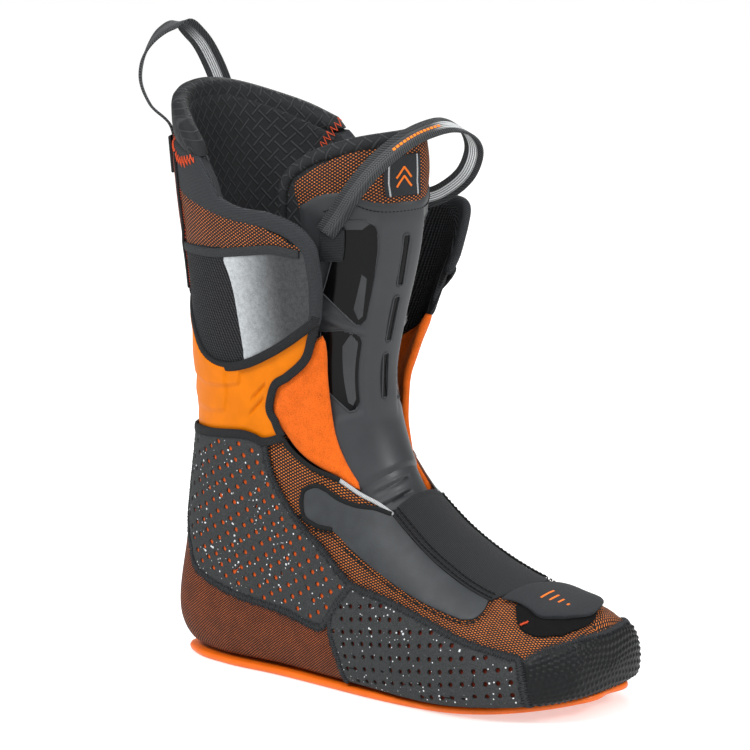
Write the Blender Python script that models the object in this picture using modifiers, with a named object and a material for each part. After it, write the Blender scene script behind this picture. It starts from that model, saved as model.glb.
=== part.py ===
"""Liner (soft inner boot) of an alpine ski boot, right foot, as separate sewn and moulded pieces.

Metres, +X to the toe, +Y to the wearer's left (medial side), +Z up. The origin is on the floor
under the ankle's flex axis. Most pieces are panels cut from one boot-shaped surface or from the
tongue's surface, each at its own depth, so that the layers never meet.
"""

import math

import bmesh
import bpy
import numpy as np
from mathutils import Vector
from mathutils.geometry import delaunay_2d_cdt

MM = 0.001

# The boot's surface is a loft of closed sections along the foot and up the leg. Each row, in mm:
# station, front point x and z, back point x and z, half width, sideways shift,
# where along the section it is widest (-1 back to 1 front), roundness of the front, of the back
SECTIONS = (
    (-3, 193.5, 25, 193.5, 24, 0, 6, 0, 2.2, 2.2),
    (0, 193, 29, 192.5, 20, 8, 6, 0, 2.2, 2.2),
    (3, 191.5, 38, 191, 12, 22, 6, -0.1, 2.2, 2.4),
    (10, 187.5, 46, 186, 5, 33, 6, -0.25, 2.3, 2.8),
    (22, 178.5, 52, 175, 0, 41.5, 5, -0.35, 2.3, 3),
    (45, 160, 59, 154, -4, 48.5, 3, -0.45, 2.15, 3.4),
    (75, 133, 68, 126, -6, 51.5, 1, -0.5, 2, 3.6),
    (105, 108, 81, 99, -6, 49.5, 0, -0.5, 1.95, 3.6),
    (135, 86, 97, 69, -6, 46, 0, -0.48, 2, 3.4),
    (165, 66, 117, 36, -6, 43, 0, -0.4, 2.2, 3.2),
    (190, 54, 139, 0, -6, 41, 0, -0.2, 2.6, 3.2),
    (215, 51, 161, -52, -5, 40, 0, 0, 3, 3.2),
    (240, 53, 182, -80, 14, 40, 0, 0.1, 3.4, 3),
    (265, 59, 202, -76, 60, 41, 0, 0.1, 3.6, 2.6),
    (300, 71, 228, -65, 130, 45, 0, 0.1, 3.8, 2.4),
    (340, 85, 256, -65, 198, 51, 0, 0.1, 4, 2.3),
    (380, 96, 283, -69, 258, 56, 0, 0, 4, 2.3),
    (420, 102, 309, -73, 317, 58, 0, 0, 4, 2.3),
)
# How far the inner side of the cuff stands open: station, mm
MEDIAL_FLARE = ((-3, 0), (185, 0), (230, 8), (262, 14), (300, 15), (340, 10), (380, 6), (420, 4))

# The tongue's surface. Each row, in mm: height along its spine, spine x and z, half width,
# how far its wings reach back, and the tilt of its cross-section in degrees
TONGUE = (
    (0, 112, 68, 25, 6, 62),
    (30, 87, 84, 26, 14, 54),
    (60, 69, 111, 27, 25, 42),
    (90, 59, 138, 30, 34, 26),
    (120, 57, 166, 32, 46, 12),
    (150, 63, 194, 34, 54, 5),
    (180, 72, 224, 36, 60, 2),
    (210, 79, 256, 37.5, 66, 2),
    (235, 81, 280, 38, 68, 6),
    (250, 80, 294, 36, 62, 10),
)

# Half plan of the sole in mm: x, reach to the lateral side, reach to the medial side
SOLE_PLAN = (
    (-76, 17, 17),
    (-62, 29, 28),
    (-38, 35.5, 33),
    (0, 38, 34),
    (40, 43, 37),
    (70, 47, 43),
    (100, 49, 49),
    (130, 49, 51.5),
    (150, 44, 50),
    (168, 34, 45),
    (181, 21, 38),
    (188, 8, 28),
)
SOLE_HEEL = (-81, 0)
SOLE_TOE = (191, 11)
SOLE_THICK = 3.7  # mm
SOLE_TOP = 4.0  # mm, where the upper's surface starts
SOLE_EDGE = 4.0  # mm, how softly the upper turns under to the sole
TOE_SPRING = 9.0  # mm, how far the toe lifts off the floor
SPRING_START = 90.0  # mm, where it starts to lift
SPRING_RUN = 105.0  # mm, over what length
FOOTBED_BOTTOM = 12.5  # mm
FOOTBED_THICK = 3.5  # mm
FOOTBED_CENTRE = (55.0, 2.0)  # mm
FOOTBED_SHARE = (0.86, 0.70)  # its length and width as shares of the sole's

# Joints, in mm. The cuff leans forward about the ankle; the tongue's throat leans with it, and the
# tongue's upper part folds down from the top of the throat
ANKLE_AXIS = (5.0, 0.0, 100.0)
THROAT_AXIS = (76.2, 0.0, 96.3)
TONGUE_AXIS = (63.3, 0.0, 123.5)
TONGUE_LOOP_AXIS = (49.0, 0.0, 253.0)
REAR_LOOP_AXIS = (-73.5, 0.0, 284.0)

# Layers: distance from the boot's surface to a piece's outer face, and its thickness, in mm
TAB = (2.7, 1.0)
TRIM = (1.4, 1.0)
PANEL = (0.0, 1.0)
NET = (-1.6, 0.6)
LINER = (-2.8, 1.6)
MEDIAL_LINER = (-5.3, 1.6)  # deeper, so that the flexing cuff clears it
FOAM = (-2.8, 4.0)
FLAP_FOAM = (-2.6, 3.4)
CUFF_FOAM = (-2.6, 5.0)
COLLAR_LINING = (-8.0, 1.6)
TONGUE_SHELL = (0.0, 2.0)
TONGUE_SKIN = (-1.0, 1.0)
TONGUE_ROOT = (-1.0, 3.0)
TONGUE_PAD = (-2.3, 4.0)
TONGUE_TRIM = (1.3, 1.0)
WINDOW = (1.0, 0.7)

# Colours
BLACK = (0.018, 0.019, 0.021)
CHARCOAL = (0.045, 0.048, 0.052)
GREY = (0.09, 0.095, 0.10)
SILVER = (0.34, 0.36, 0.38)
PALE = (0.55, 0.56, 0.57)
ORANGE = (0.85, 0.22, 0.02)
NET_BROWN = (0.26, 0.085, 0.03)
VELOUR = (0.80, 0.13, 0.02)
DARK_RED = (0.30, 0.03, 0.02)


for old in list(bpy.data.objects):
    bpy.data.objects.remove(old)
PARTS = bpy.data.collections.new("ski_boot_liner")
bpy.context.scene.collection.children.link(PARTS)


# ---------------------------------------------------------------- surfaces


def smooth_table(table, at):
    """Rows of a table at any value of its first column, along smooth curves through its rows."""
    table = np.array(table, float)
    knots, rows = table[:, 0], table[:, 1:]
    gaps = np.diff(knots)
    slopes = np.diff(rows, axis=0) / gaps[:, None]
    tangents = np.empty_like(rows)
    tangents[0], tangents[-1] = slopes[0], slopes[-1]
    before, after = gaps[:-1, None], gaps[1:, None]
    tangents[1:-1] = (slopes[:-1] * after + slopes[1:] * before) / (before + after)
    at = np.atleast_1d(np.asarray(at, float))
    low = np.clip(np.searchsorted(knots, at, side="right") - 1, 0, len(knots) - 2)
    gap = gaps[low][:, None]
    t = ((at - knots[low])[:, None]) / gap
    start = (2 * t**3 - 3 * t**2 + 1) * rows[low] + (t**3 - 2 * t**2 + t) * gap * tangents[low]
    end = (3 * t**2 - 2 * t**3) * rows[low + 1] + (t**3 - t**2) * gap * tangents[low + 1]
    return start + end


def toe_lift(x):
    """Height of the sole's underside above the floor, in mm."""
    return TOE_SPRING * np.clip((x - SPRING_START) / SPRING_RUN, 0, 1.1) ** 2


def boot_surface(station, angle):
    """Points of the boot's surface in mm. Angle 0 is the front or top, 90 the lateral side,
    180 the back or sole, 270 (or -90) the medial side."""
    station, angle = np.broadcast_arrays(np.asarray(station, float), np.asarray(angle, float))
    shape = station.shape
    front_x, front_z, back_x, back_z, half, shift, widest, front_round, back_round = smooth_table(
        SECTIONS, station.ravel()
    ).T
    turn = np.radians(angle.ravel())
    cosine, sine = np.cos(turn), np.sin(turn)
    power = np.where(cosine >= 0, front_round, back_round)
    reach = (np.abs(cosine) ** power + np.abs(sine) ** power) ** (-1 / power)
    cosine, sine = reach * cosine, reach * sine
    along = np.where(cosine >= 0, widest + (1 - widest) * cosine, widest + (1 + widest) * cosine)
    x = (front_x + back_x) / 2 + (front_x - back_x) / 2 * along
    z = (front_z + back_z) / 2 + (front_z - back_z) / 2 * along
    floor = toe_lift(x) + SOLE_TOP
    z = floor + 0.5 * ((z - floor) + np.sqrt((z - floor) ** 2 + SOLE_EDGE**2))
    y = shift - half * sine
    signed = (angle.ravel() + 180) % 360 - 180
    opened = np.clip((signed + 105) / 50, 0, 1) * (signed < 0)
    flare = np.interp(station.ravel(), *np.array(MEDIAL_FLARE, float).T)
    y = y + flare * opened**2 * (3 - 2 * opened)
    return np.stack([x, y, z], -1).reshape(shape + (3,))


def tongue_surface(height, side):
    """Points of the tongue's outer surface in mm. Side runs from 1, lateral, to -1, medial."""
    height, side = np.broadcast_arrays(np.asarray(height, float), np.asarray(side, float))
    shape = height.shape
    x, z, half, depth, tilt = smooth_table(TONGUE, height.ravel()).T
    turn = side.ravel() * math.pi / 2
    back = depth * (1 - np.cos(turn))
    tilt = np.radians(tilt)
    points = [x - back * np.cos(tilt), -half * np.sin(turn), z - back * np.sin(tilt)]
    return np.stack(points, -1).reshape(shape + (3,))


def surface_frame(surface, first, second, step):
    """Point, both tangents per unit, and the outward normal at a surface coordinate."""
    here = surface(first, second)
    along = (surface(first + step, second) - surface(first - step, second)) / (2 * step)
    across = (surface(first, second + step) - surface(first, second - step)) / (2 * step)
    normal = np.cross(along, across)
    size = np.linalg.norm(normal, axis=-1, keepdims=True)
    return here, along, across, normal / np.maximum(size, 1e-12)


class Sheet:
    """A surface as flat triangles over a grid of its two coordinates. Every piece cut from it uses
    the same triangles, moved out or in, so that pieces at different depths stay parallel."""

    def __init__(self, surface, rows, columns, column_scale, step):
        self.surface, self.step, self.scale = surface, step, column_scale
        self.rows, self.columns = np.array(rows, float), np.array(columns, float)
        row_at, column_at = np.meshgrid(self.rows, self.columns, indexing="ij")
        inner_rows = np.clip(row_at, self.rows[0] + 3 * step, self.rows[-1] - 3 * step)
        self.points = surface(row_at, column_at)
        self.normals = surface_frame(surface, inner_rows, column_at, step)[3]
        for points, normals in zip(self.points, self.normals):
            if np.ptp(points, axis=0).max() < 1.5:
                normals[:] = normals.mean(axis=0) / np.linalg.norm(normals.mean(axis=0))

    def place(self, coordinates, lift):
        """Points, in mm, of the faceted surface lifted outwards, for rows of coordinates."""
        first, second = np.asarray(coordinates, float).T
        row = np.clip(np.searchsorted(self.rows, first, side="right") - 1, 0, len(self.rows) - 2)
        column = np.clip(np.searchsorted(self.columns, second, side="right") - 1, 0, len(self.columns) - 2)
        down = (first - self.rows[row]) / (self.rows[row + 1] - self.rows[row])
        over = (second - self.columns[column]) / (self.columns[column + 1] - self.columns[column])
        lifted = self.points + lift * self.normals
        near, far = lifted[row, column], lifted[row + 1, column + 1]
        below, beside = lifted[row + 1, column], lifted[row, column + 1]
        down, over = down[:, None], over[:, None]
        first_half = near + down * (below - near) + over * (beside - near)
        second_half = far + (1 - down) * (beside - far) + (1 - over) * (below - far)
        return np.where(down + over <= 1, first_half, second_half)

    def line(self, coordinates, lift):
        """Points, in mm, of a line on the smooth surface, lifted outwards."""
        first, second = np.asarray(coordinates, float).T
        here, _, _, normal = surface_frame(self.surface, first, second, self.step)
        return here + lift * normal

    def inset(self, outline, distance):
        """A closed outline with every side moved inwards by a distance in mm."""
        outline = np.asarray(outline, float)
        here, along, across, normal = surface_frame(self.surface, outline[:, 0], outline[:, 1], self.step)
        flat = outline * (1, self.scale)
        area = np.sum(flat[:, 0] * np.roll(flat[:, 1], -1) - np.roll(flat[:, 0], -1) * flat[:, 1])
        ahead = np.roll(here, -1, axis=0) - here
        ahead /= np.maximum(np.linalg.norm(ahead, axis=1, keepdims=True), 1e-9)
        behind = np.roll(ahead, 1, axis=0)
        side_ahead, side_behind = np.cross(normal, ahead), np.cross(normal, behind)
        inward = (side_ahead + side_behind) * np.sign(area)
        share = np.maximum(np.linalg.norm(inward, axis=1, keepdims=True), 0.9)
        inward = inward * 2 / share**2 * distance
        moved = outline.copy()
        for i, move in enumerate(inward):
            basis = np.stack([along[i], across[i]], axis=1)
            moved[i] += np.linalg.lstsq(basis, move, rcond=None)[0]
        return moved

    def cut(self, outline):
        """Vertices as coordinates, and triangles, of the part of the grid inside an outline."""
        outline = np.asarray(outline, float)
        low, high = outline.min(axis=0), outline.max(axis=0)
        first_row = max(np.searchsorted(self.rows, low[0]) - 1, 0)
        last_row = min(np.searchsorted(self.rows, high[0]) + 1, len(self.rows) - 1)
        first_column = max(np.searchsorted(self.columns, low[1]) - 1, 0)
        last_column = min(np.searchsorted(self.columns, high[1]) + 1, len(self.columns) - 1)
        corners = {}
        vertices, edges = [], []
        for i in range(first_row, last_row + 1):
            for j in range(first_column, last_column + 1):
                corners[i, j] = len(vertices)
                vertices.append((self.rows[i], self.columns[j]))
        for i, j in corners:
            for other in ((i + 1, j), (i, j + 1), (i + 1, j - 1)):
                if other in corners:
                    edges.append((corners[i, j], corners[other]))
        start = len(vertices)
        vertices.extend(map(tuple, outline))
        count = len(outline)
        edges.extend((start + i, start + (i + 1) % count) for i in range(count))
        flat = [Vector((a, b * self.scale)) for a, b in vertices]
        found, _, faces = delaunay_2d_cdt(flat, edges, [], 0, 1e-5)[:3]
        found = np.array([tuple(v) for v in found])
        centres = np.array([found[list(face)].mean(axis=0) for face in faces])
        keep = inside(centres, outline * (1, self.scale))
        return found / (1, self.scale), [face for face, kept in zip(faces, keep) if kept]


def inside(points, outline):
    """Which points lie in a closed outline, by counting the sides crossed."""
    found = np.zeros(len(points), bool)
    for (x0, y0), (x1, y1) in zip(outline, np.roll(outline, -1, axis=0)):
        if y0 == y1:
            continue
        spans = (points[:, 1] > y0) != (points[:, 1] > y1)
        crossing = x0 + (points[:, 1] - y0) * (x1 - x0) / (y1 - y0)
        found ^= spans & (points[:, 0] < crossing)
    return found


TOE_ROWS = (-3, 0, 3, 10, 22, 45)
FOOT_ROWS = range(60, 180, 15)
HEEL_ROWS = (178, 190, 202, 215, 228, 240, 252, 265, 282)
LEG_ROWS = range(300, 421, 20)
HALF_ROUND = (0, 18, 35, 50, 65, 80, 95, 112, 128, 144, 162, 180)
FULL_ROUND = [*HALF_ROUND, *(360 - angle for angle in HALF_ROUND[-2::-1])]
BOOT = Sheet(
    boot_surface,
    [*TOE_ROWS, *FOOT_ROWS, *HEEL_ROWS, *LEG_ROWS],
    [*(angle - 360 for angle in FULL_ROUND if 150 < angle < 360), *FULL_ROUND],
    column_scale=0.8,
    step=0.25,
)
TONGUE_SHEET = Sheet(tongue_surface, range(0, 251, 25), np.linspace(-1, 1, 11), 60.0, 0.01)


# ---------------------------------------------------------------- building


def joint_empty(name, place):
    """An empty on a joint's axis, at a point in mm: the pieces parented to it turn about it."""
    made = bpy.data.objects.new(name, None)
    made.location = [value * MM for value in place]
    made.empty_display_size = 0.02
    PARTS.objects.link(made)
    return made


def hang(names, joint, on=None):
    """Parents pieces to a joint's empty, and that empty to the joint it moves with, all in place."""
    if on:
        joint.parent = on
        joint.location -= on.matrix_world.translation
    bpy.context.view_layer.update()
    for name in names:
        piece = bpy.data.objects[name]
        piece.parent = joint
        piece.matrix_parent_inverse = joint.matrix_world.inverted()


def sided(*names):
    return [f"{side}_{name}" for name in names for side in ("lateral", "medial")]


def material(name, colour, roughness, metallic=0.0):
    made = bpy.data.materials.get(name)
    if made:
        return made
    made = bpy.data.materials.new(name)
    made.use_nodes = True
    shader = made.node_tree.nodes["Principled BSDF"]
    shader.inputs["Base Color"].default_value = (*colour, 1)
    shader.inputs["Roughness"].default_value = roughness
    shader.inputs["Metallic"].default_value = metallic
    return made


def add_object(name, mesh, look):
    made = bpy.data.objects.new(name, mesh)
    made.data.materials.append(material(name, *look))
    PARTS.objects.link(made)
    return made


def sheet_object(name, points, faces, thickness, look):
    """An open sheet of points in mm, given its thickness inwards by a Solidify modifier."""
    mesh = bpy.data.meshes.new(name)
    mesh.from_pydata([tuple(p * MM) for p in np.asarray(points, float)], [], faces)
    shape = bmesh.new()
    shape.from_mesh(mesh)
    loose = [v for v in shape.verts if not v.link_faces]
    bmesh.ops.delete(shape, geom=loose, context="VERTS")
    bmesh.ops.remove_doubles(shape, verts=shape.verts, dist=2e-6)
    bmesh.ops.dissolve_degenerate(shape, edges=shape.edges, dist=2e-6)
    shape.to_mesh(mesh)
    shape.free()
    mesh.shade_smooth()
    made = add_object(name, mesh, look)
    solid = made.modifiers.new("thickness", "SOLIDIFY")
    solid.thickness = thickness * MM
    solid.offset = -1
    return made


def panel(name, sheet, outline, layer, look, gap=0.4):
    """A piece cut from a sheet: its outline pulled in by a gap, at a layer's depth and thickness."""
    outline = sheet.inset(outline, gap) if gap else np.asarray(outline, float)
    coordinates, faces = sheet.cut(outline)
    lift, thickness = layer
    return sheet_object(name, sheet.place(coordinates, lift), faces, thickness, look)


def cord(name, points, radius, look):
    """A rolled edge: a round tube through points in mm."""
    curve = bpy.data.curves.new(name, "CURVE")
    curve.dimensions = "3D"
    curve.bevel_depth = radius * MM
    curve.bevel_resolution = 1
    curve.use_fill_caps = True
    spline = curve.splines.new("POLY")
    spline.points.add(len(points) - 1)
    for knot, place in zip(spline.points, points):
        knot.co = (*(place * MM), 1)
    return add_object(name, curve, look)


def strap(name, centre, across, width, thickness, look):
    """A flat band along points in mm; across is the direction of its width at each point."""
    across = np.asarray(across, float)
    across = across / np.linalg.norm(across, axis=1, keepdims=True)
    points = np.concatenate([centre - across * width / 2, centre + across * width / 2])
    count = len(centre)
    faces = [(i, i + 1, i + 1 + count, i + count) for i in range(count - 1)]
    made = sheet_object(name, points, faces, thickness, look)
    made.modifiers["thickness"].offset = 0
    return made


def rounded(points, count, closed=False):
    """Evenly numbered points along a smooth curve through the given ones."""
    points = np.asarray(points, float)
    if closed:
        points = np.concatenate([points[-2:], points, points[:2]])
    knots = np.concatenate([[0], np.cumsum(np.linalg.norm(np.diff(points, axis=0), axis=1))])
    low, high = (knots[2], knots[-2]) if closed else (knots[0], knots[-1])
    at = np.linspace(low, high, count + 1 if closed else count)
    made = smooth_table(np.column_stack([knots, points]), at)
    return made[:-1] if closed else made


def medial(line):
    """A lateral line's mirror image on the medial side."""
    return [(station, -angle) for station, angle in line]


def behind(line):
    """A lateral line's mirror image, counted on round the heel instead of over the front."""
    return [(station, 360 - angle) for station, angle in line]


# ---------------------------------------------------------------- design lines
# Lines on the boot's surface, as (station in mm, angle in degrees), on the lateral side

FLAP_RIM = [(383, 112), (376, 107), (371, 100), (366, 86), (356, 74), (341, 66), (323, 62), (306, 60)]
FLAP_RIM += [(292, 60)]
FLAP_FOOT = [(292, 60), (292, 77), (298, 99), (303, 112)]
CUFF_FOOT = [(303, 112), (308, 118), (317, 131), (331, 145), (338, 158), (341, 180)]
SHELL_FRONT = [(288, 62), (268, 61), (273, 73), (276, 82), (269, 81), (254, 76), (242, 71)]
ANKLE_SEAM = [(242, 71), (254, 84), (272, 100), (285, 118), (294, 136), (299, 158), (300, 180)]
THROAT = [(242, 71), (222, 64), (205, 57), (188, 48), (174, 41), (159, 33)]
HEEL_PANEL_FRONT = [(251, 86), (230, 78), (210, 74), (196, 72), (179, 69), (158, 68)]
HEEL_PANEL_FOOT = [(158, 68), (167, 84), (172, 93), (180, 99), (191, 104), (214, 113), (232, 119)]
HEEL_PANEL_FOOT += [(253, 128)]
HEEL_PANEL_BACK = [(253, 128), (268, 140), (294, 148)]
FOREFOOT_TOP = [(158, 68), (127, 62), (90, 59), (62, 60), (36, 62)]
FOREFOOT_TOE = [(36, 62), (31, 78), (28, 98), (27, 126)]
SOLE_LINE = [(27, 126), (45, 120), (75, 119), (105, 120), (130, 122), (150, 126)]
FOREFOOT_HEEL = [(150, 126), (158, 102), (167, 84)]
RIBBED_TOP = [(362, 112), (366, 124), (368, 136), (366, 147)]
TAB_HINGE = [(62, 26), (50, -26)]
FLAP_HINGE = [(303, 112), (383, 112)]

CLOTH_LOOK = 0.85
NET_LOOK = (NET_BROWN, 0.75)


# ---------------------------------------------------------------- foot


def build_sole():
    """The stiff orange board under the foot, flat under the heel and lifting at the toe."""
    lateral = [(x, -out) for x, out, _ in SOLE_PLAN]
    inner = [(x, out) for x, _, out in reversed(SOLE_PLAN)]
    outline = rounded([SOLE_HEEL, *lateral, SOLE_TOE, *inner], 56, closed=True)

    def slab(name, edge, bottom, thickness, look):
        lines = np.arange(SPRING_START, SOLE_TOE[0] + 15, 15)
        corners = [(x, y) for x in lines for y in (-60, 60)]
        count = len(edge)
        edges = [(i, (i + 1) % count) for i in range(count)]
        edges += [(count + 2 * i, count + 2 * i + 1) for i in range(len(lines))]
        flat = [Vector(p) for p in [*edge, *corners]]
        found, _, faces = delaunay_2d_cdt(flat, edges, [], 0, 1e-5)[:3]
        found = np.array([tuple(v) for v in found])
        centres = np.array([found[list(face)].mean(axis=0) for face in faces])
        keep = inside(centres, np.asarray(edge, float))
        faces = [tuple(face) for face, kept in zip(faces, keep) if kept]
        points = np.column_stack([found, toe_lift(found[:, 0]) + bottom + thickness])
        return sheet_object(name, points, faces, thickness, look)

    slab("sole_plate", outline, 0, SOLE_THICK, (ORANGE, 0.45))
    centre = np.array(FOOTBED_CENTRE)
    bed = centre + (outline - centre) * FOOTBED_SHARE
    slab("footbed", bed, FOOTBED_BOTTOM, FOOTBED_THICK, (GREY, CLOTH_LOOK))


def build_foot():
    """The sewn foot: a net sleeve over foam, with panels and trims on top."""
    heel_ring = [(-3, 180), *reversed(ANKLE_SEAM)]
    sleeve_half = heel_ring + THROAT[1:] + [(150, 31), (110, 30), (78, 28), (70, 16)]
    sleeve = sleeve_half + [(68, 0)] + medial(reversed(sleeve_half))
    panel("net_sleeve", BOOT, sleeve, NET, NET_LOOK, gap=0)
    foam_half = heel_ring[:-2] + [(262, 94), (238, 82), (216, 74), (200, 68), (186, 63), (172, 57)]
    foam_half += [(155, 51), (130, 46), (95, 42), (86, 26)]
    foam = foam_half + [(84, 0)] + medial(reversed(foam_half))
    panel("foot_foam", BOOT, foam, FOAM, (CHARCOAL, 0.9), gap=0)

    wrap_half = HEEL_PANEL_BACK[::-1] + HEEL_PANEL_FOOT[-2:0:-1] + FOREFOOT_HEEL[-2::-1]
    wrap = wrap_half + [(170, 130), (215, 134), (232, 150), (236, 180)]
    wrap = wrap + behind(reversed(wrap[:-1]))
    panel("heel_wrap", BOOT, wrap, PANEL, NET_LOOK, gap=0.8)
    band_line = ANKLE_SEAM[1:] + behind(ANKLE_SEAM[-2:0:-1])
    band = [(station - 2, angle) for station, angle in band_line]
    band += [(station - 9, angle) for station, angle in reversed(band_line)]
    panel("ankle_band", BOOT, band, TRIM, (BLACK, CLOTH_LOOK), gap=0.3)

    heel = HEEL_PANEL_FRONT + HEEL_PANEL_FOOT[1:] + HEEL_PANEL_BACK[1:] + [(292, 136), (272, 104)]
    forefoot = FOREFOOT_TOP + FOREFOOT_TOE[1:] + SOLE_LINE[1:] + FOREFOOT_HEEL[1:]
    overlay = [(205, 65), (196, 56), (180, 49), (152, 33), (110, 32), (70, 32), (71, 44), (78, 47)]
    overlay += [(109, 51), (135, 54), (164, 58), (191, 67)]
    velour = [(260, 54), (263, 65), (268, 73), (271, 84), (262, 84), (248, 78), (234, 70), (214, 63)]
    velour += [(198, 56), (188, 51), (186, 47), (196, 47), (211, 48), (240, 50)]
    for side, mirror in (("lateral", list), ("medial", medial)):
        panel(f"{side}_heel_panel", BOOT, mirror(heel), PANEL, (CHARCOAL, 0.9), gap=0.8)
        panel(f"{side}_forefoot_panel", BOOT, mirror(forefoot), PANEL, (CHARCOAL, 0.9), gap=0.8)
        panel(f"{side}_instep_overlay", BOOT, mirror(overlay), PANEL, (GREY, 0.6))
        depth = LINER if side == "lateral" else MEDIAL_LINER
        panel(f"{side}_velour_pad", BOOT, mirror(velour), depth, (VELOUR, 0.95))
        piping = rounded(mirror(THROAT[1:-1]), 12)
        cord(f"{side}_throat_piping", BOOT.line(piping, 0.7), 0.9, (PALE, 0.6))

    gusset_half = [(61, 0), (66, 18), (71, 30), (110, 30), (151, 30), (149, 15)]
    gusset = gusset_half + [(148, 0)] + medial(gusset_half[:0:-1])
    panel("instep_gusset", BOOT, gusset, PANEL, (CHARCOAL, CLOTH_LOOK), gap=0.5)

    cap_half = [(-3, 180), (14, 180), (24, 150), (26, 126), (27, 98), (30, 78), (34, 62), (26, 56)]
    cap_half += [(13, 45), (8, 28), (6, 12)]
    cap = cap_half + [(6, 0)] + medial(reversed(cap_half))
    panel("toe_cap", BOOT, cap, PANEL, (BLACK, 0.7), gap=0)
    patch = [(50, 26), (42, 40), (31, 42), (19, 36), (13, 18), (13, -18), (22, -36), (38, -38), (48, -26)]
    panel("toe_patch", BOOT, patch, TRIM, (BLACK, CLOTH_LOOK))
    tab = [TAB_HINGE[0], (56, 0), TAB_HINGE[1], (34, -31), (22, -23), (16, 0), (20, 18), (34, 30), (47, 26)]
    panel("toe_tab", BOOT, rounded(tab, 24, closed=True), TAB, (GREY, CLOTH_LOOK))
    ends = BOOT.line(TAB_HINGE, TAB[0] - TAB[1] / 2)
    hang(["toe_tab"], joint_empty("toe_tab_joint", ends.mean(axis=0)))


# ---------------------------------------------------------------- cuff


def build_cuff():
    """The upper: a moulded ankle shell, padded walls, ribbed sides and the collar."""
    shell_half = [(341, 180), *CUFF_FOOT[::-1][1:], *FLAP_FOOT[::-1][1:-1], *SHELL_FRONT, *ANKLE_SEAM[1:]]
    shell = shell_half + behind(reversed(shell_half[1:-1]))
    panel("ankle_shell", BOOT, shell, PANEL, (ORANGE, 0.5), gap=4.0)
    for side, mirror in (("lateral", list), ("medial", medial)):
        edge = rounded(mirror(SHELL_FRONT[1:-1]), 14)
        cord(f"{side}_ankle_binding", BOOT.line(edge, -0.6), 1.6, (BLACK, CLOTH_LOOK))
        ribbed = [(303, 113), *CUFF_FOOT[1:4], (336, 149), *RIBBED_TOP[::-1]]
        panel(f"{side}_ribbed_panel", BOOT, mirror(ribbed), PANEL, (BLACK, CLOTH_LOOK), gap=0.8)

    foam_low = [(290, 103), (280, 112), (292, 130), (301, 148), (304, 165)]
    foam_half = [(304, 113), *foam_low[1:]]
    foam_rim = [(418, 165), (415, 148), (408, 132), (398, 120), (382, 113)]
    foam = foam_half + [(306, 180)] + behind(reversed(foam_half))
    foam += behind(reversed(foam_rim)) + [(419, 180)] + foam_rim
    panel("cuff_foam", BOOT, foam, CUFF_FOAM, (CHARCOAL, 0.9), gap=2.5)
    lining_half = [(380, 114), (372, 130), (366, 150), (364, 165)]
    lining_rim = [(414, 165), (411, 148), (404, 132), (394, 120)]
    lining = lining_half + [(363, 180)] + behind(reversed(lining_half))
    lining += behind(reversed(lining_rim)) + [(415, 180)] + lining_rim
    panel("collar_lining", BOOT, lining, COLLAR_LINING, (CHARCOAL, CLOTH_LOOK), gap=2.5)
    net = [(342, 152), (342, 180), (342, 208), (398, 208), (404, 180), (398, 152)]
    panel("rear_net_panel", BOOT, net, PANEL, (DARK_RED, 0.75))
    anchor = [(378, 156), (378, 204), (392, 204), (392, 156)]
    panel("rear_loop_anchor", BOOT, anchor, TRIM, (BLACK, CLOTH_LOOK), gap=0.5)


def build_flap(side, mirror):
    """A front flap of the cuff: pad, outer panel, net strip and a rolled rim."""
    whole = [(382, 112), *FLAP_RIM[1:], *FLAP_FOOT[1:]]
    panel(f"{side}_flap_pad", BOOT, mirror(whole), FLAP_FOAM, (CHARCOAL, CLOTH_LOOK), gap=2.8)
    low = [(345, 112), (348, 103), (343, 84), (335, 69), (323, 62), (306, 60), *FLAP_FOOT]
    panel(f"{side}_flap_panel", BOOT, mirror(low), PANEL, (SILVER, 0.45, 0.3), gap=2.2)
    high = [*FLAP_RIM[:6], (335, 69), (343, 84), (348, 103), (345, 112)]
    panel(f"{side}_flap_net", BOOT, mirror(high), PANEL, NET_LOOK, gap=2.2)
    edge = rounded(mirror(FLAP_RIM[1:]), 18)
    cord(f"{side}_flap_binding", BOOT.line(edge, -2.8), 1.7, (GREY, CLOTH_LOOK))


# ---------------------------------------------------------------- tongue


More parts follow.
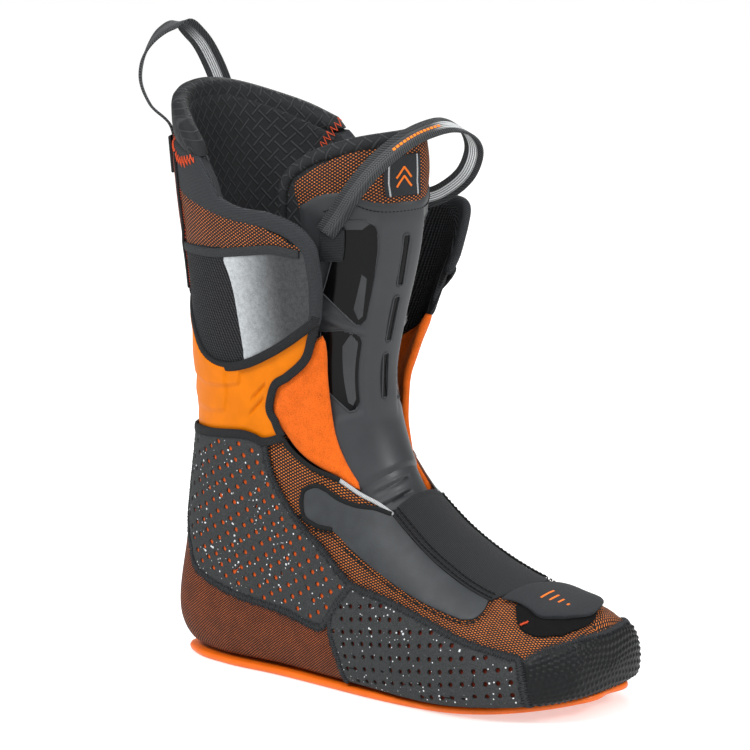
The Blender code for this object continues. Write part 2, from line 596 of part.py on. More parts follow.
def build_tongue():
    """The tongue: a base under the gusset, a flexing throat, and a padded, shelled upper part."""
    base = [(2, -0.95), (44, -0.95), (44, 0.95), (2, 0.95)]
    panel("tongue_base", TONGUE_SHEET, base, TONGUE_ROOT, (CHARCOAL, 0.8), gap=0)
    throat = [(46, -0.95), (73, -0.95), (73, 0.95), (46, 0.95)]
    panel("tongue_throat", TONGUE_SHEET, throat, TONGUE_ROOT, (CHARCOAL, 0.7), gap=0)
    pad = [(75, -0.92), (100, -0.95), (222, -0.93), (235, -0.80), (242, -0.55), (244, 0)]
    pad = pad + [(height, -side) for height, side in reversed(pad[:-1])]
    panel("tongue_pad", TONGUE_SHEET, pad, TONGUE_PAD, (CHARCOAL, CLOTH_LOOK), gap=0)
    shell = [(75, -0.75), (110, -0.80), (190, -0.78), (212, -0.62), (219, -0.35), (216, 0)]
    shell = shell + [(height, -side) for height, side in reversed(shell[:-1])]
    panel("tongue_shell", TONGUE_SHEET, shell, TONGUE_SHELL, (CHARCOAL, 0.45), gap=0)
    net = [(219, 0), (222, 0.35), (215, 0.64), (208, 0.78), (215, 0.86), (236, 0.80), (242, 0.6), (243, 0)]
    net = net + [(height, -side) for height, side in reversed(net[1:-1])]
    panel("tongue_net", TONGUE_SHEET, net, TONGUE_SKIN, NET_LOOK, gap=0.4)
    label = [(220, -0.14), (220, 0.14), (238, 0.14), (238, -0.14)]
    panel("tongue_label", TONGUE_SHEET, label, TONGUE_TRIM, (GREY, CLOTH_LOOK), gap=0)
    upper = [(204, 0.50), (201, 0.38), (192, 0.31), (166, 0.31), (152, 0.33), (168, 0.62), (188, 0.60)]
    lower = [(147, 0.60), (148, 0.46), (140, 0.35), (106, 0.39), (103, 0.49), (120, 0.62)]
    for side, sign in (("lateral", 1), ("medial", -1)):
        for name, outline in (("upper", upper), ("lower", lower)):
            outline = [(height, sign * across) for height, across in outline]
            panel(f"{side}_{name}_window", TONGUE_SHEET, outline, WINDOW, (BLACK, 0.15), gap=0.2)
    rim = [(150, 0.985), (200, 0.985), (228, 0.96), (243, 0.84), (249, 0.6), (250, 0.3), (250, 0)]
    rim = rim + [(height, -side) for height, side in reversed(rim[:-1])]
    edge = rounded(np.array(rim) * (1, TONGUE_SHEET.scale), 30) / (1, TONGUE_SHEET.scale)
    edge = np.clip(edge, (0, -0.985), (249.5, 0.985))
    cord("tongue_rim", TONGUE_SHEET.line(edge, -3.0), 1.5, (GREY, CLOTH_LOOK))
    anchor = [(184, 0.62), (184, 0.74), (204, 0.74), (204, 0.62)]
    panel("tongue_strap_anchor", TONGUE_SHEET, anchor, TONGUE_TRIM, (BLACK, CLOTH_LOOK), gap=0)


def build_loops():
    """The two webbing loops that the boot is pulled on by."""
    path = [(46, -41.5, 252), (60, -38, 268), (76, -22, 290), (83, 0, 301), (82, 26, 303), (79, 44, 294)]
    path += [(75, 52, 277), (64, 49, 262), (52, 44, 254)]
    pull_loop("tongue_pull_loop", path, width=11.0, lean=(1.0, 0.0, 0.35))
    path = [(-73, -25, 284), (-86, -27, 300), (-95, -24, 322), (-92, -13, 342), (-88, 0, 348)]
    path += [(-86, 12, 343), (-84, 23, 322), (-80, 25, 300), (-74, 25, 284)]
    pull_loop("rear_pull_loop", path, width=14.0, lean=(1.0, 0.0, 0.3))


def pull_loop(name, path, width, lean):
    """A band along a smooth line through points in mm, its width as close to the lean direction as fits."""
    path = rounded(path, 22)
    ahead = np.gradient(path, axis=0)
    across = np.cross(ahead, np.cross(lean, ahead))
    strap(name, path, across, width, 1.4, (BLACK, CLOTH_LOOK))


def hang_moving_pieces():
    """Puts each moving piece under an empty on its joint's axis."""
    cuff = joint_empty("cuff_joint", ANKLE_AXIS)
    hang(["ankle_shell", "cuff_foam", "collar_lining", "rear_net_panel", "rear_loop_anchor"], cuff)
    hang(sided("ankle_binding", "ribbed_panel"), cuff)
    for side, mirror in (("lateral", list), ("medial", medial)):
        hinge = BOOT.line(mirror(FLAP_HINGE), 0)
        pieces = [f"{side}_flap_{name}" for name in ("pad", "panel", "net", "binding")]
        hang(pieces, joint_empty(f"{side}_flap_joint", hinge.mean(axis=0)), on=cuff)
    throat = joint_empty("throat_joint", THROAT_AXIS)
    hang(["tongue_throat"], throat)
    tongue = joint_empty("tongue_joint", TONGUE_AXIS)
    pieces = [f"tongue_{name}" for name in ("pad", "shell", "net", "label", "rim", "strap_anchor")]
    hang(pieces + sided("upper_window", "lower_window"), tongue, on=throat)
    hang(["tongue_pull_loop"], joint_empty("tongue_loop_joint", TONGUE_LOOP_AXIS), on=tongue)
    hang(["rear_pull_loop"], joint_empty("rear_loop_joint", REAR_LOOP_AXIS), on=cuff)


build_sole()
build_foot()
build_cuff()
for flap_side, flap_mirror in (("lateral", list), ("medial", medial)):
    build_flap(flap_side, flap_mirror)
build_tongue()
build_loops()
hang_moving_pieces()
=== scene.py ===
"""Looks of an alpine ski boot liner (right inner boot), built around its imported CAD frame.

Sizes named here are in mm unless a line says otherwise; meshes are made in metres. Every piece is
cut from one of two smooth surfaces, the boot's and the tongue's, which are lofted through the same
sections as the frame's solids. A place on the boot's surface is (station, angle): station runs from
the toe back and up the leg, and angle is 0 on top or in front, 90 on the lateral side, 180 at the
sole or back. A place on the tongue's surface is (height, side), side from 1, lateral, to -1.
"""

import math

import bpy
import numpy as np
from mathutils import Matrix, Vector, kdtree
from mathutils.geometry import delaunay_2d_cdt


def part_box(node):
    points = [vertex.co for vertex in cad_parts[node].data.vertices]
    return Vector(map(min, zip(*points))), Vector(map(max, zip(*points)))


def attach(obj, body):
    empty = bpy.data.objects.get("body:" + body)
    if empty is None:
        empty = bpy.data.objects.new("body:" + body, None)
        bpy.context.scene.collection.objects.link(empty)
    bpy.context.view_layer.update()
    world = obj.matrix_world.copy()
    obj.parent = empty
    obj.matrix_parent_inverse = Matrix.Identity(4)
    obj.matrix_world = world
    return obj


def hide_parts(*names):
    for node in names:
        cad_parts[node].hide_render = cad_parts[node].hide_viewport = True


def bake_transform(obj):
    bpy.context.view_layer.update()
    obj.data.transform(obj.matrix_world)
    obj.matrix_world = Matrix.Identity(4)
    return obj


MM = 0.001

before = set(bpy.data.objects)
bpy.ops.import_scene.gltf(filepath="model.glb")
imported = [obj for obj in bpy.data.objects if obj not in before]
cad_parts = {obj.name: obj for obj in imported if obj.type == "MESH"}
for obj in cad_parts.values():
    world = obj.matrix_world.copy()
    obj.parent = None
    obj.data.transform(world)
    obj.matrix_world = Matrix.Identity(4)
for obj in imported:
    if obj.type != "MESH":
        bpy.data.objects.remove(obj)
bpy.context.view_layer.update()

# Sections of the boot: station, front x and z, back x and z, half width, shift, widest, roundness
SECTIONS = (
    (-3, 193.5, 25, 193.5, 24, 0, 6, 0, 2.2, 2.2),
    (0, 193, 29, 192.5, 20, 8, 6, 0, 2.2, 2.2),
    (3, 191.5, 38, 191, 12, 22, 6, -0.1, 2.2, 2.4),
    (10, 187.5, 46, 186, 5, 33, 6, -0.25, 2.3, 2.8),
    (22, 178.5, 52, 175, 0, 41.5, 5, -0.35, 2.3, 3),
    (45, 160, 59, 154, -4, 48.5, 3, -0.45, 2.15, 3.4),
    (75, 133, 68, 126, -6, 51.5, 1, -0.5, 2, 3.6),
    (105, 108, 81, 99, -6, 49.5, 0, -0.5, 1.95, 3.6),
    (135, 86, 97, 69, -6, 46, 0, -0.48, 2, 3.4),
    (165, 66, 117, 36, -6, 43, 0, -0.4, 2.2, 3.2),
    (190, 54, 139, 0, -6, 41, 0, -0.2, 2.6, 3.2),
    (215, 51, 161, -52, -5, 40, 0, 0, 3, 3.2),
    (240, 53, 182, -80, 14, 40, 0, 0.1, 3.4, 3),
    (265, 59, 202, -76, 60, 41, 0, 0.1, 3.6, 2.6),
    (300, 71, 228, -65, 130, 45, 0, 0.1, 3.8, 2.4),
    (340, 85, 256, -65, 198, 51, 0, 0.1, 4, 2.3),
    (380, 96, 283, -69, 258, 56, 0, 0, 4, 2.3),
    (420, 102, 309, -73, 317, 58, 0, 0, 4, 2.3),
)
MEDIAL_FLARE = ((-3, 0), (185, 0), (230, 10), (262, 20), (300, 19), (340, 13), (380, 6), (420, 4))
# Sections of the tongue: height, spine x and z, half width, wing depth, tilt
TONGUE_SECTIONS = (
    (0, 112, 68, 25, 6, 62),
    (30, 87, 84, 26, 14, 54),
    (60, 69, 111, 27, 25, 42),
    (90, 59, 138, 30, 34, 26),
    (120, 57, 166, 32, 46, 12),
    (150, 63, 194, 34, 54, 5),
    (180, 72, 224, 36, 60, 2),
    (210, 79, 256, 37.5, 66, 2),
    (235, 81, 280, 38, 68, 6),
    (250, 80, 294, 36, 62, 10),
)
MEDIAL_SHARE = 0.88  # the tongue's medial half is this much narrower
TONGUE_TURN = (190, 225), (0.12, 0.2)  # heights, and how far its middle line turns to the lateral side
SOLE_PLAN = (
    (-76, 17, 17),
    (-62, 29, 28),
    (-38, 35.5, 33),
    (0, 38, 34),
    (40, 43, 37),
    (70, 47, 43),
    (100, 49, 49),
    (130, 49, 51.5),
    (150, 44, 50),
    (168, 34, 45),
    (181, 21, 38),
    (188, 8, 28),
)
SOLE_HEEL, SOLE_TOE = (-81, 0), (191, 11)
SOLE_TOP, SOLE_EDGE = 4.0, 4.0
TOE_SPRING, SPRING_START, SPRING_RUN = 9.0, 90.0, 105.0

SOLE_THICK = 3.7
HOLE_RADIUS, HOLE_PITCH = 1.6, 6.6
NET_DEPTH, WRAP_DEPTH = -1.3, -0.6  # the nets' outer faces, below the boot's surface


# ---------------------------------------------------------------- surfaces


def smooth_table(table, at):
    """Rows of a table at any value of its first column, along smooth curves through its rows."""
    table = np.array(table, float)
    knots, rows = table[:, 0], table[:, 1:]
    gaps = np.diff(knots)
    slopes = np.diff(rows, axis=0) / gaps[:, None]
    tangents = np.empty_like(rows)
    tangents[0], tangents[-1] = slopes[0], slopes[-1]
    before, after = gaps[:-1, None], gaps[1:, None]
    tangents[1:-1] = (slopes[:-1] * after + slopes[1:] * before) / (before + after)
    at = np.atleast_1d(np.asarray(at, float))
    low = np.clip(np.searchsorted(knots, at, side="right") - 1, 0, len(knots) - 2)
    gap = gaps[low][:, None]
    t = ((at - knots[low])[:, None]) / gap
    start = (2 * t**3 - 3 * t**2 + 1) * rows[low] + (t**3 - 2 * t**2 + t) * gap * tangents[low]
    end = (3 * t**2 - 2 * t**3) * rows[low + 1] + (t**3 - t**2) * gap * tangents[low + 1]
    return start + end


def toe_lift(x):
    return TOE_SPRING * np.clip((x - SPRING_START) / SPRING_RUN, 0, 1.1) ** 2


def boot_shape(station, angle):
    station, angle = np.broadcast_arrays(np.asarray(station, float), np.asarray(angle, float))
    shape = station.shape
    front_x, front_z, back_x, back_z, half, shift, widest, front_round, back_round = smooth_table(
        SECTIONS, station.ravel()
    ).T
    turn = np.radians(angle.ravel())
    cosine, sine = np.cos(turn), np.sin(turn)
    power = np.where(cosine >= 0, front_round, back_round)
    reach = (np.abs(cosine) ** power + np.abs(sine) ** power) ** (-1 / power)
    cosine, sine = reach * cosine, reach * sine
    along = np.where(cosine >= 0, widest + (1 - widest) * cosine, widest + (1 + widest) * cosine)
    x = (front_x + back_x) / 2 + (front_x - back_x) / 2 * along
    z = (front_z + back_z) / 2 + (front_z - back_z) / 2 * along
    floor = toe_lift(x) + SOLE_TOP
    z = floor + 0.5 * ((z - floor) + np.sqrt((z - floor) ** 2 + SOLE_EDGE**2))
    signed = (angle.ravel() + 180) % 360 - 180
    flare = np.interp(station.ravel(), *np.array(MEDIAL_FLARE, float).T)
    y = shift - half * sine + flare * ease(signed, -105, -55) * (signed < 0)
    return np.stack([x, y, z], -1).reshape(shape + (3,))


def tongue_shape(height, side):
    height, side = np.broadcast_arrays(np.asarray(height, float), np.asarray(side, float))
    shape = height.shape
    x, z, half, depth, tilt = smooth_table(TONGUE_SECTIONS, height.ravel()).T
    side = side.ravel() + np.interp(height.ravel(), *TONGUE_TURN) * (1 - side.ravel() ** 2)
    turn = side * math.pi / 2
    half = np.where(turn < 0, MEDIAL_SHARE * half, half)
    back = depth * (1 - np.cos(turn))
    tilt = np.radians(tilt)
    points = [x - back * np.cos(tilt), -half * np.sin(turn), z - back * np.sin(tilt)]
    return np.stack(points, -1).reshape(shape + (3,))


def unit(vectors):
    return vectors / np.maximum(np.linalg.norm(vectors, axis=-1, keepdims=True), 1e-9)


class Surface:
    """A smooth surface over two coordinates, with distances along both in mm for its patterns."""

    def __init__(self, shape, rows, columns, middle, scale, step, pole=None):
        self.shape, self.scale, self.step, self.pole = shape, scale, step, pole
        self.rows, self.columns = np.array(rows, float), np.array(columns, float)
        grid = shape(self.rows[:, None], self.columns[None, :])
        along = np.linalg.norm(np.diff(grid, axis=0), axis=-1)
        across = np.linalg.norm(np.diff(grid, axis=1), axis=-1)
        self.along = np.pad(np.cumsum(along, axis=0), ((1, 0), (0, 0)))
        self.across = np.pad(np.cumsum(across, axis=1), ((0, 0), (1, 0)))
        self.along -= self.along[np.searchsorted(self.rows, middle[0])]
        self.across -= self.across[:, np.searchsorted(self.columns, middle[1])][:, None]

    def read(self, table, spots):
        row = np.interp(spots[:, 0], self.rows, np.arange(len(self.rows)))
        column = np.interp(spots[:, 1], self.columns, np.arange(len(self.columns)))
        i = np.minimum(row.astype(int), len(self.rows) - 2)
        j = np.minimum(column.astype(int), len(self.columns) - 2)
        a, b = row - i, column - j
        low = table[i, j] * (1 - b) + table[i, j + 1] * b
        high = table[i + 1, j] * (1 - b) + table[i + 1, j + 1] * b
        return low * (1 - a) + high * a

    def distances(self, spots, centre):
        """Distances in mm along and across the surface from a centre's coordinates."""
        row, column = spots.copy(), spots.copy()
        row[:, 0], column[:, 1] = centre
        along = self.read(self.along, spots) - self.read(self.along, row)
        return np.stack([along, self.read(self.across, spots) - self.read(self.across, column)], -1)

    def basis(self, spots):
        """Place, both tangents per unit, and outward normal at rows of coordinates."""
        first, second = np.asarray(spots, float).T
        step = self.step
        here = self.shape(first, second)
        safe = first if self.pole is None else np.maximum(first, self.pole)
        along = (self.shape(safe + step, second) - self.shape(safe - step, second)) / (2 * step)
        across = (self.shape(safe, second + step) - self.shape(safe, second - step)) / (2 * step)
        normal = unit(np.cross(along, across))
        if self.pole is not None:
            share = np.clip((first + 3) / (self.pole + 3), 0, 1)[:, None]
            normal = unit(normal * share + np.array([1.0, 0, 0.1]) * (1 - share))
        return here, along, across, normal

    def lift(self, spots, height):
        here, _, _, normal = self.basis(spots)
        return here + np.reshape(height, (-1, 1)) * normal

    def curve(self, points, pitch):
        """Coordinates at an even pitch along a smooth line through a few coordinates."""
        points = np.asarray(points, float)
        if len(points) > 2:
            flat = points * (1, self.scale)
            knots = np.r_[0, np.cumsum(np.linalg.norm(np.diff(flat, axis=0), axis=1))]
            at = np.linspace(0, knots[-1], 12 * len(points))
            points = smooth_table(np.column_stack([knots, points]), at)
        else:
            points = points[0] + np.linspace(0, 1, 24)[:, None] * (points[1] - points[0])
        places = self.shape(*points.T)
        run = np.r_[0, np.cumsum(np.linalg.norm(np.diff(places, axis=0), axis=1))]
        at = np.linspace(0, run[-1], max(int(round(run[-1] / pitch)), 2) + 1)
        return np.stack([np.interp(at, run, points[:, k]) for k in (0, 1)], -1)

    def loop(self, lines, pitch):
        """A closed outline from lines that meet end to end; corners stay where they meet."""
        outline = np.concatenate([self.curve(line, pitch)[:-1] for line in lines])
        ahead = np.roll(outline, -1, axis=0)
        area = np.sum(outline[:, 0] * ahead[:, 1] - ahead[:, 0] * outline[:, 1])
        return outline if area > 0 else outline[::-1]

    def round_hole(self, spot, radius, sides):
        """Coordinates round a circle of a radius in mm."""
        _, along, across, _ = self.basis(np.array([spot]))
        turn = np.arange(sides) * 2 * math.pi / sides
        first = unit(along)[0]
        second = unit(across - (across @ first)[:, None] * first)[0]
        ring = radius * (np.cos(turn)[:, None] * first + np.sin(turn)[:, None] * second)
        tangents = np.stack([along[0], across[0]], axis=1)
        return spot + np.linalg.lstsq(tangents, ring.T, rcond=None)[0].T

    def fill(self, outline, spacing):
        """Coordinates of evenly spread points in an outline's box."""
        low, high = outline.min(axis=0), outline.max(axis=0)
        sample = np.linspace(low[0], high[0], 60)
        middles = np.linspace(low[1], high[1], 9)
        lines = [self.read(self.along, np.column_stack([sample, np.full(60, m)])) for m in middles]
        run = np.mean(lines, axis=0)
        steps = np.arange(run[0], run[-1], spacing * 0.87)
        found = []
        for k, station in enumerate(np.interp(steps, run, sample)):
            angles = np.linspace(low[1], high[1], 60)
            arc = self.read(self.across, np.column_stack([np.full(60, station), angles]))
            at = np.arange(arc[0] + (k % 2) * spacing / 2, arc[-1], spacing)
            found.append(np.column_stack([np.full(len(at), station), np.interp(at, arc, angles)]))
        return np.concatenate(found)


def inside(points, outline):
    """Which points lie in a closed outline, by counting the sides crossed."""
    found = np.zeros(len(points), bool)
    for (x0, y0), (x1, y1) in zip(outline, np.roll(outline, -1, axis=0)):
        if y0 != y1:
            spans = (points[:, 1] > y0) != (points[:, 1] > y1)
            found ^= spans & (points[:, 0] < x0 + (points[:, 1] - y0) * (x1 - x0) / (y1 - y0))
    return found


def nearest(points, targets):
    """Distance from each point to the closest target."""
    tree = kdtree.KDTree(len(targets))
    for i, target in enumerate(targets):
        tree.insert(target, i)
    tree.balance()
    return np.array([tree.find(point)[2] for point in points])


def ease(value, start, end):
    """0 before start, 1 after end, and a smooth rise between them."""
    t = np.clip((value - start) / (end - start), 0, 1)
    return t * t * (3 - 2 * t)


BOOT = Surface(
    boot_shape, np.arange(-3, 420.1, 1.5), np.arange(-216, 360.1, 2), (75, 60), 0.8, 0.25, pole=4
)
TONGUE = Surface(
    tongue_shape, np.arange(-4, 252.1, 1), np.linspace(-1, 1, 161), (120, 0), 60.0, 0.01
)


TOE_RUN = np.array([[-3, 0], [-1.5, 5], [0, 8.5], [3, 17], [10, 28], [22, 42], [45, 66]], float)


def toe_shape(p, q):
    """The toe of the boot over a flat disc, its tip in the middle, so that nothing meets at a point."""
    station = np.interp(np.hypot(p, q), TOE_RUN[:, 1], TOE_RUN[:, 0])
    return boot_shape(station, np.degrees(np.arctan2(q, p)))


def on_toe(line):
    """A line of the boot's coordinates, on the toe's disc."""
    reach = np.interp([station for station, _ in line], TOE_RUN[:, 0], TOE_RUN[:, 1])
    turn = np.radians([angle for _, angle in line])
    return np.column_stack([reach * np.cos(turn), reach * np.sin(turn)]).tolist()


TOE = Surface(toe_shape, np.arange(-50, 50.1, 1.25), np.arange(-50, 50.1, 1.25), (0, 0), 1.0, 0.6)


def foot_place(here):
    """Pattern coordinates over the foot: along it, and from the top down round its sides."""
    return np.column_stack([here[:, 0], here[:, 2] - 0.8 * np.abs(here[:, 1])])


def leg_place(here):
    """Pattern coordinates round the heel and leg: upwards, and round from the middle of the back."""
    behind = np.minimum(here[:, 0] + 35, 0)
    turn = np.arctan2(np.abs(here[:, 1]), np.maximum(-behind, 1e-6))
    arc = turn * 38 + np.maximum(here[:, 0] + 35, 0)
    return np.column_stack([here[:, 2], np.where(here[:, 1] < 0, arc, -arc)])

# ---------------------------------------------------------------- meshes


def mesh_object(name, points, faces, pattern, material):
    """A mesh object from points in mm; pattern holds each point's place in its material's pattern."""
    mesh = bpy.data.meshes.new(name)
    mesh.from_pydata((np.asarray(points) * MM).tolist(), [], faces)
    corners = np.zeros(len(mesh.loops), np.int32)
    mesh.loops.foreach_get("vertex_index", corners)
    layer = mesh.uv_layers.new(name="pattern")
    layer.data.foreach_set("uv", np.asarray(pattern, np.float32)[corners].ravel())
    mesh.shade_smooth()
    mesh.set_sharp_from_angle(angle=math.radians(65))
    mesh.materials.append(material)
    made = bpy.data.objects.new(name, mesh)
    bpy.context.scene.collection.objects.link(made)
    return made


def patch(
    name, surface, lines, material, sheet, relief=None, back_relief=None, holes=(), inward=False, place=None
):
    """A closed sheet cut from a surface: its face at its top, rounded edges, relief added to its face.

    sheet is its top's height over the surface, its thickness, its mesh's spacing and its edge's corner
    radius; a corner of half the thickness makes a fully rolled edge. relief(spots, edge) gives extra
    height for coordinates and their distance to the outline, and back_relief the same for the far face.
    inward turns the face to the inside, and counts top and relief inwards. place gives a pattern's
    coordinates from points in mm, where distances over the surface would shear it.
    """
    top, thick, spacing, corner = sheet
    outline = surface.loop(lines, spacing)
    rim = surface.shape(*outline.T)
    fine = surface.shape(*surface.loop(lines, 0.7).T)
    inner = surface.fill(outline, spacing)
    inner = inner[inside(inner, outline)]
    inner = inner[nearest(surface.shape(*inner.T), rim) > 0.6 * spacing]
    rings, centres = [], None
    if len(holes):
        spots = np.asarray(holes, float)
        clear = nearest(surface.shape(*spots.T), fine) > 2 * HOLE_RADIUS
        spots = spots[inside(spots, outline) & clear]
        centres = surface.shape(*spots.T)
        rings = [surface.round_hole(spot, HOLE_RADIUS, 10) for spot in spots]
        inner = inner[nearest(surface.shape(*inner.T), centres) > HOLE_RADIUS + 0.35 * spacing]
    loops = [outline, *rings]
    vertices, edges = np.concatenate([*loops, inner]), []
    start = 0
    for ring in loops:
        edges += [(start + i, start + (i + 1) % len(ring)) for i in range(len(ring))]
        start += len(ring)
    flat = [Vector((a, b * surface.scale)) for a, b in vertices]
    found, _, faces = delaunay_2d_cdt(flat, edges, [], 0, 1e-6)[:3]
    spots = np.array([tuple(v) for v in found]) / (1, surface.scale)
    faces = np.array([face for face in faces if len(face) == 3])
    keep = inside(spots[faces].mean(axis=1), outline)
    if centres is not None:
        reach = nearest(surface.shape(*spots.T), centres)
        keep &= reach[faces].max(axis=1) > 1.1 * HOLE_RADIUS
    used, faces = np.unique(faces[keep], return_inverse=True)
    faces, spots = faces.reshape(-1, 3), spots[used]

    here, _, _, normal = surface.basis(spots)
    if inward:
        normal, faces = -normal, faces[:, ::-1]
    edge_distance = nearest(here, fine)
    height = np.full(len(spots), float(top))
    if relief is not None:
        height += relief(spots, edge_distance)
    front = here + height[:, None] * normal
    pattern = place(here) if place else surface.distances(spots, outline.mean(axis=0))
    sides = np.concatenate([faces[:, [0, 1]], faces[:, [1, 2]], faces[:, [2, 0]]])
    known = set(map(tuple, sides.tolist()))
    border = np.array([(a, b) for a, b in sides.tolist() if (b, a) not in known])
    outward = np.zeros_like(front)
    push = np.cross(unit(here[border[:, 1]] - here[border[:, 0]]), normal[border[:, 0]])
    np.add.at(outward, border[:, 0], push)
    np.add.at(outward, border[:, 1], push)
    outward = unit(outward)
    ring = np.unique(border)
    points, patterns, quads = [front], [pattern], []
    last, count = np.arange(len(spots)), len(spots)
    for turn in (45, 90) if corner < thick / 2 else range(30, 180, 30):
        out, down = corner * math.sin(math.radians(turn)), corner * (1 - math.cos(math.radians(turn)))
        points.append(front[ring] + out * outward[ring] - down * normal[ring])
        patterns.append(pattern[ring] + out)
        following = np.zeros(len(spots), int)
        following[ring] = count + np.arange(len(ring))
        quads += [(last[b], last[a], following[a], following[b]) for a, b in border]
        last, count = following, count + len(ring)
    depth = np.full(len(spots), float(top - thick))
    if back_relief is not None:
        depth -= back_relief(spots, edge_distance)
    back = here + depth[:, None] * normal
    if corner < thick / 2:
        back[ring] += corner * outward[ring]
    below = count + np.arange(len(spots))
    quads += [(last[b], last[a], below[a], below[b]) for a, b in border]
    all_faces = faces.tolist() + [tuple(map(int, quad)) for quad in quads]
    all_faces += below[faces[:, ::-1]].tolist()
    points, patterns = np.concatenate([*points, back]), np.concatenate([*patterns, pattern])
    return mesh_object(name, points, all_faces, patterns, material)


def tube_arrays(centre, up, width, height, sides=12, power=2.0, closed=False):
    """Points, faces and pattern places of a band or cord along a line, with rounded ends."""
    centre = np.asarray(centre, float)
    count = len(centre)
    up = np.broadcast_to(np.asarray(up, float), centre.shape)
    width = np.broadcast_to(np.asarray(width, float), (count,)) / 2
    height = np.broadcast_to(np.asarray(height, float), (count,)) / 2
    if closed:
        ahead = unit(np.roll(centre, -1, axis=0) - np.roll(centre, 1, axis=0))
    else:
        ahead = unit(np.gradient(centre, axis=0))
    side = unit(np.cross(up, ahead))
    up = np.cross(ahead, side)
    if not closed:
        reach, share = np.sin(np.radians([65, 35])), np.cos(np.radians([65, 35]))
        start = centre[0] - np.outer(reach * height[0], ahead[0])
        end = centre[-1] + np.outer(reach[::-1] * height[-1], ahead[-1])
        centre = np.concatenate([start, centre, end])
        repeat = np.r_[0, 0, np.arange(count), count - 1, count - 1]
        side, up, width, height = side[repeat], up[repeat], width[repeat], height[repeat]
        share = np.r_[share, np.ones(count), share[::-1]]
        width = np.maximum(width - height * (1 - share), width * share)
        height = height * share
    run = np.r_[0, np.cumsum(np.linalg.norm(np.diff(centre, axis=0), axis=1))]
    turn = np.arange(sides) * 2 * math.pi / sides
    over, rise = (np.sign(f) * np.abs(f) ** (2 / power) for f in (np.cos(turn), np.sin(turn)))
    across = width[:, None, None] * over[None, :, None] * side[:, None]
    points = centre[:, None] + across + height[:, None, None] * rise[None, :, None] * up[:, None]
    rows = len(centre)
    faces = []
    for i in range(rows if closed else rows - 1):
        here, there = i * sides, (i + 1) % rows * sides
        for j in range(sides):
            k = (j + 1) % sides
            faces.append((here + j, here + k, there + k, there + j))
    if not closed:
        faces.append(tuple(range(sides))[::-1])
        faces.append(tuple((rows - 1) * sides + j for j in range(sides)))
    around = over[None, :] * width[:, None] + 0.3 * rise[None, :] * height[:, None]
    pattern = np.stack([np.broadcast_to(run[:, None], around.shape), around], -1)
    return points.reshape(-1, 3), faces, pattern.reshape(-1, 2)


def trim_arrays(surface, line, lift, width, height, pitch=1.5, **options):
    """A band or rolled edge that follows a line on a surface."""
    spots = surface.curve(line, pitch)
    return tube_arrays(surface.lift(spots, lift), surface.basis(spots)[3], width, height, **options)


def stitch_arrays(surface, line, lift, pitch, length, radius, offset=0.0):
    """Short threads end to end along a line, their ends dipping into the cloth."""
    here, _, _, normal = surface.basis(surface.curve(line, pitch))
    ahead = unit(np.gradient(here, axis=0))
    steps = np.linspace(-1, 1, 5)[:, None]
    parts = []
    for place, along, up in zip(here, ahead, normal):
        path = place + offset * np.cross(up, along) + steps * along * length / 2
        path = path + up * (lift - 1.3 * radius * steps**4)
        parts.append(tube_arrays(path, up, 2 * radius, 2 * radius, sides=6))
    return parts


def zigzag(line, lift, reach, pitch, thick, sides, dip=0.3, wander=0.0, seed=0):
    """A thread that crosses a line on the boot from side to side, dipping in at each turn."""
    spots = BOOT.curve(line, pitch / 4)
    here, _, _, normal = BOOT.basis(spots)
    side = np.cross(normal, unit(np.gradient(here, axis=0)))
    across = np.array([0.0, 1.0, 0.0, -1.0])[np.arange(len(spots)) % 4]
    noise = np.random.default_rng(seed).normal(0, wander, (len(spots), 2))
    swing = reach / 2 * across * (1 + noise[:, 0])
    height = lift - dip * np.abs(across) + noise[:, 1] * 0.3
    path = here + swing[:, None] * side + height[:, None] * normal
    return tube_arrays(path, normal, thick, thick, sides)


# ---------------------------------------------------------------- materials


class Value:
    """What a material's node works out; values and numbers add, subtract and multiply."""

    def __init__(self, graph, socket):
        self.graph, self.socket = graph, socket

    def __add__(self, other):
        return self.graph.math("ADD", self, other)

    def __sub__(self, other):
        return self.graph.math("SUBTRACT", self, other)

    def __rsub__(self, other):
        return self.graph.math("SUBTRACT", other, self)

    def __mul__(self, other):
        return self.graph.math("MULTIPLY", self, other)


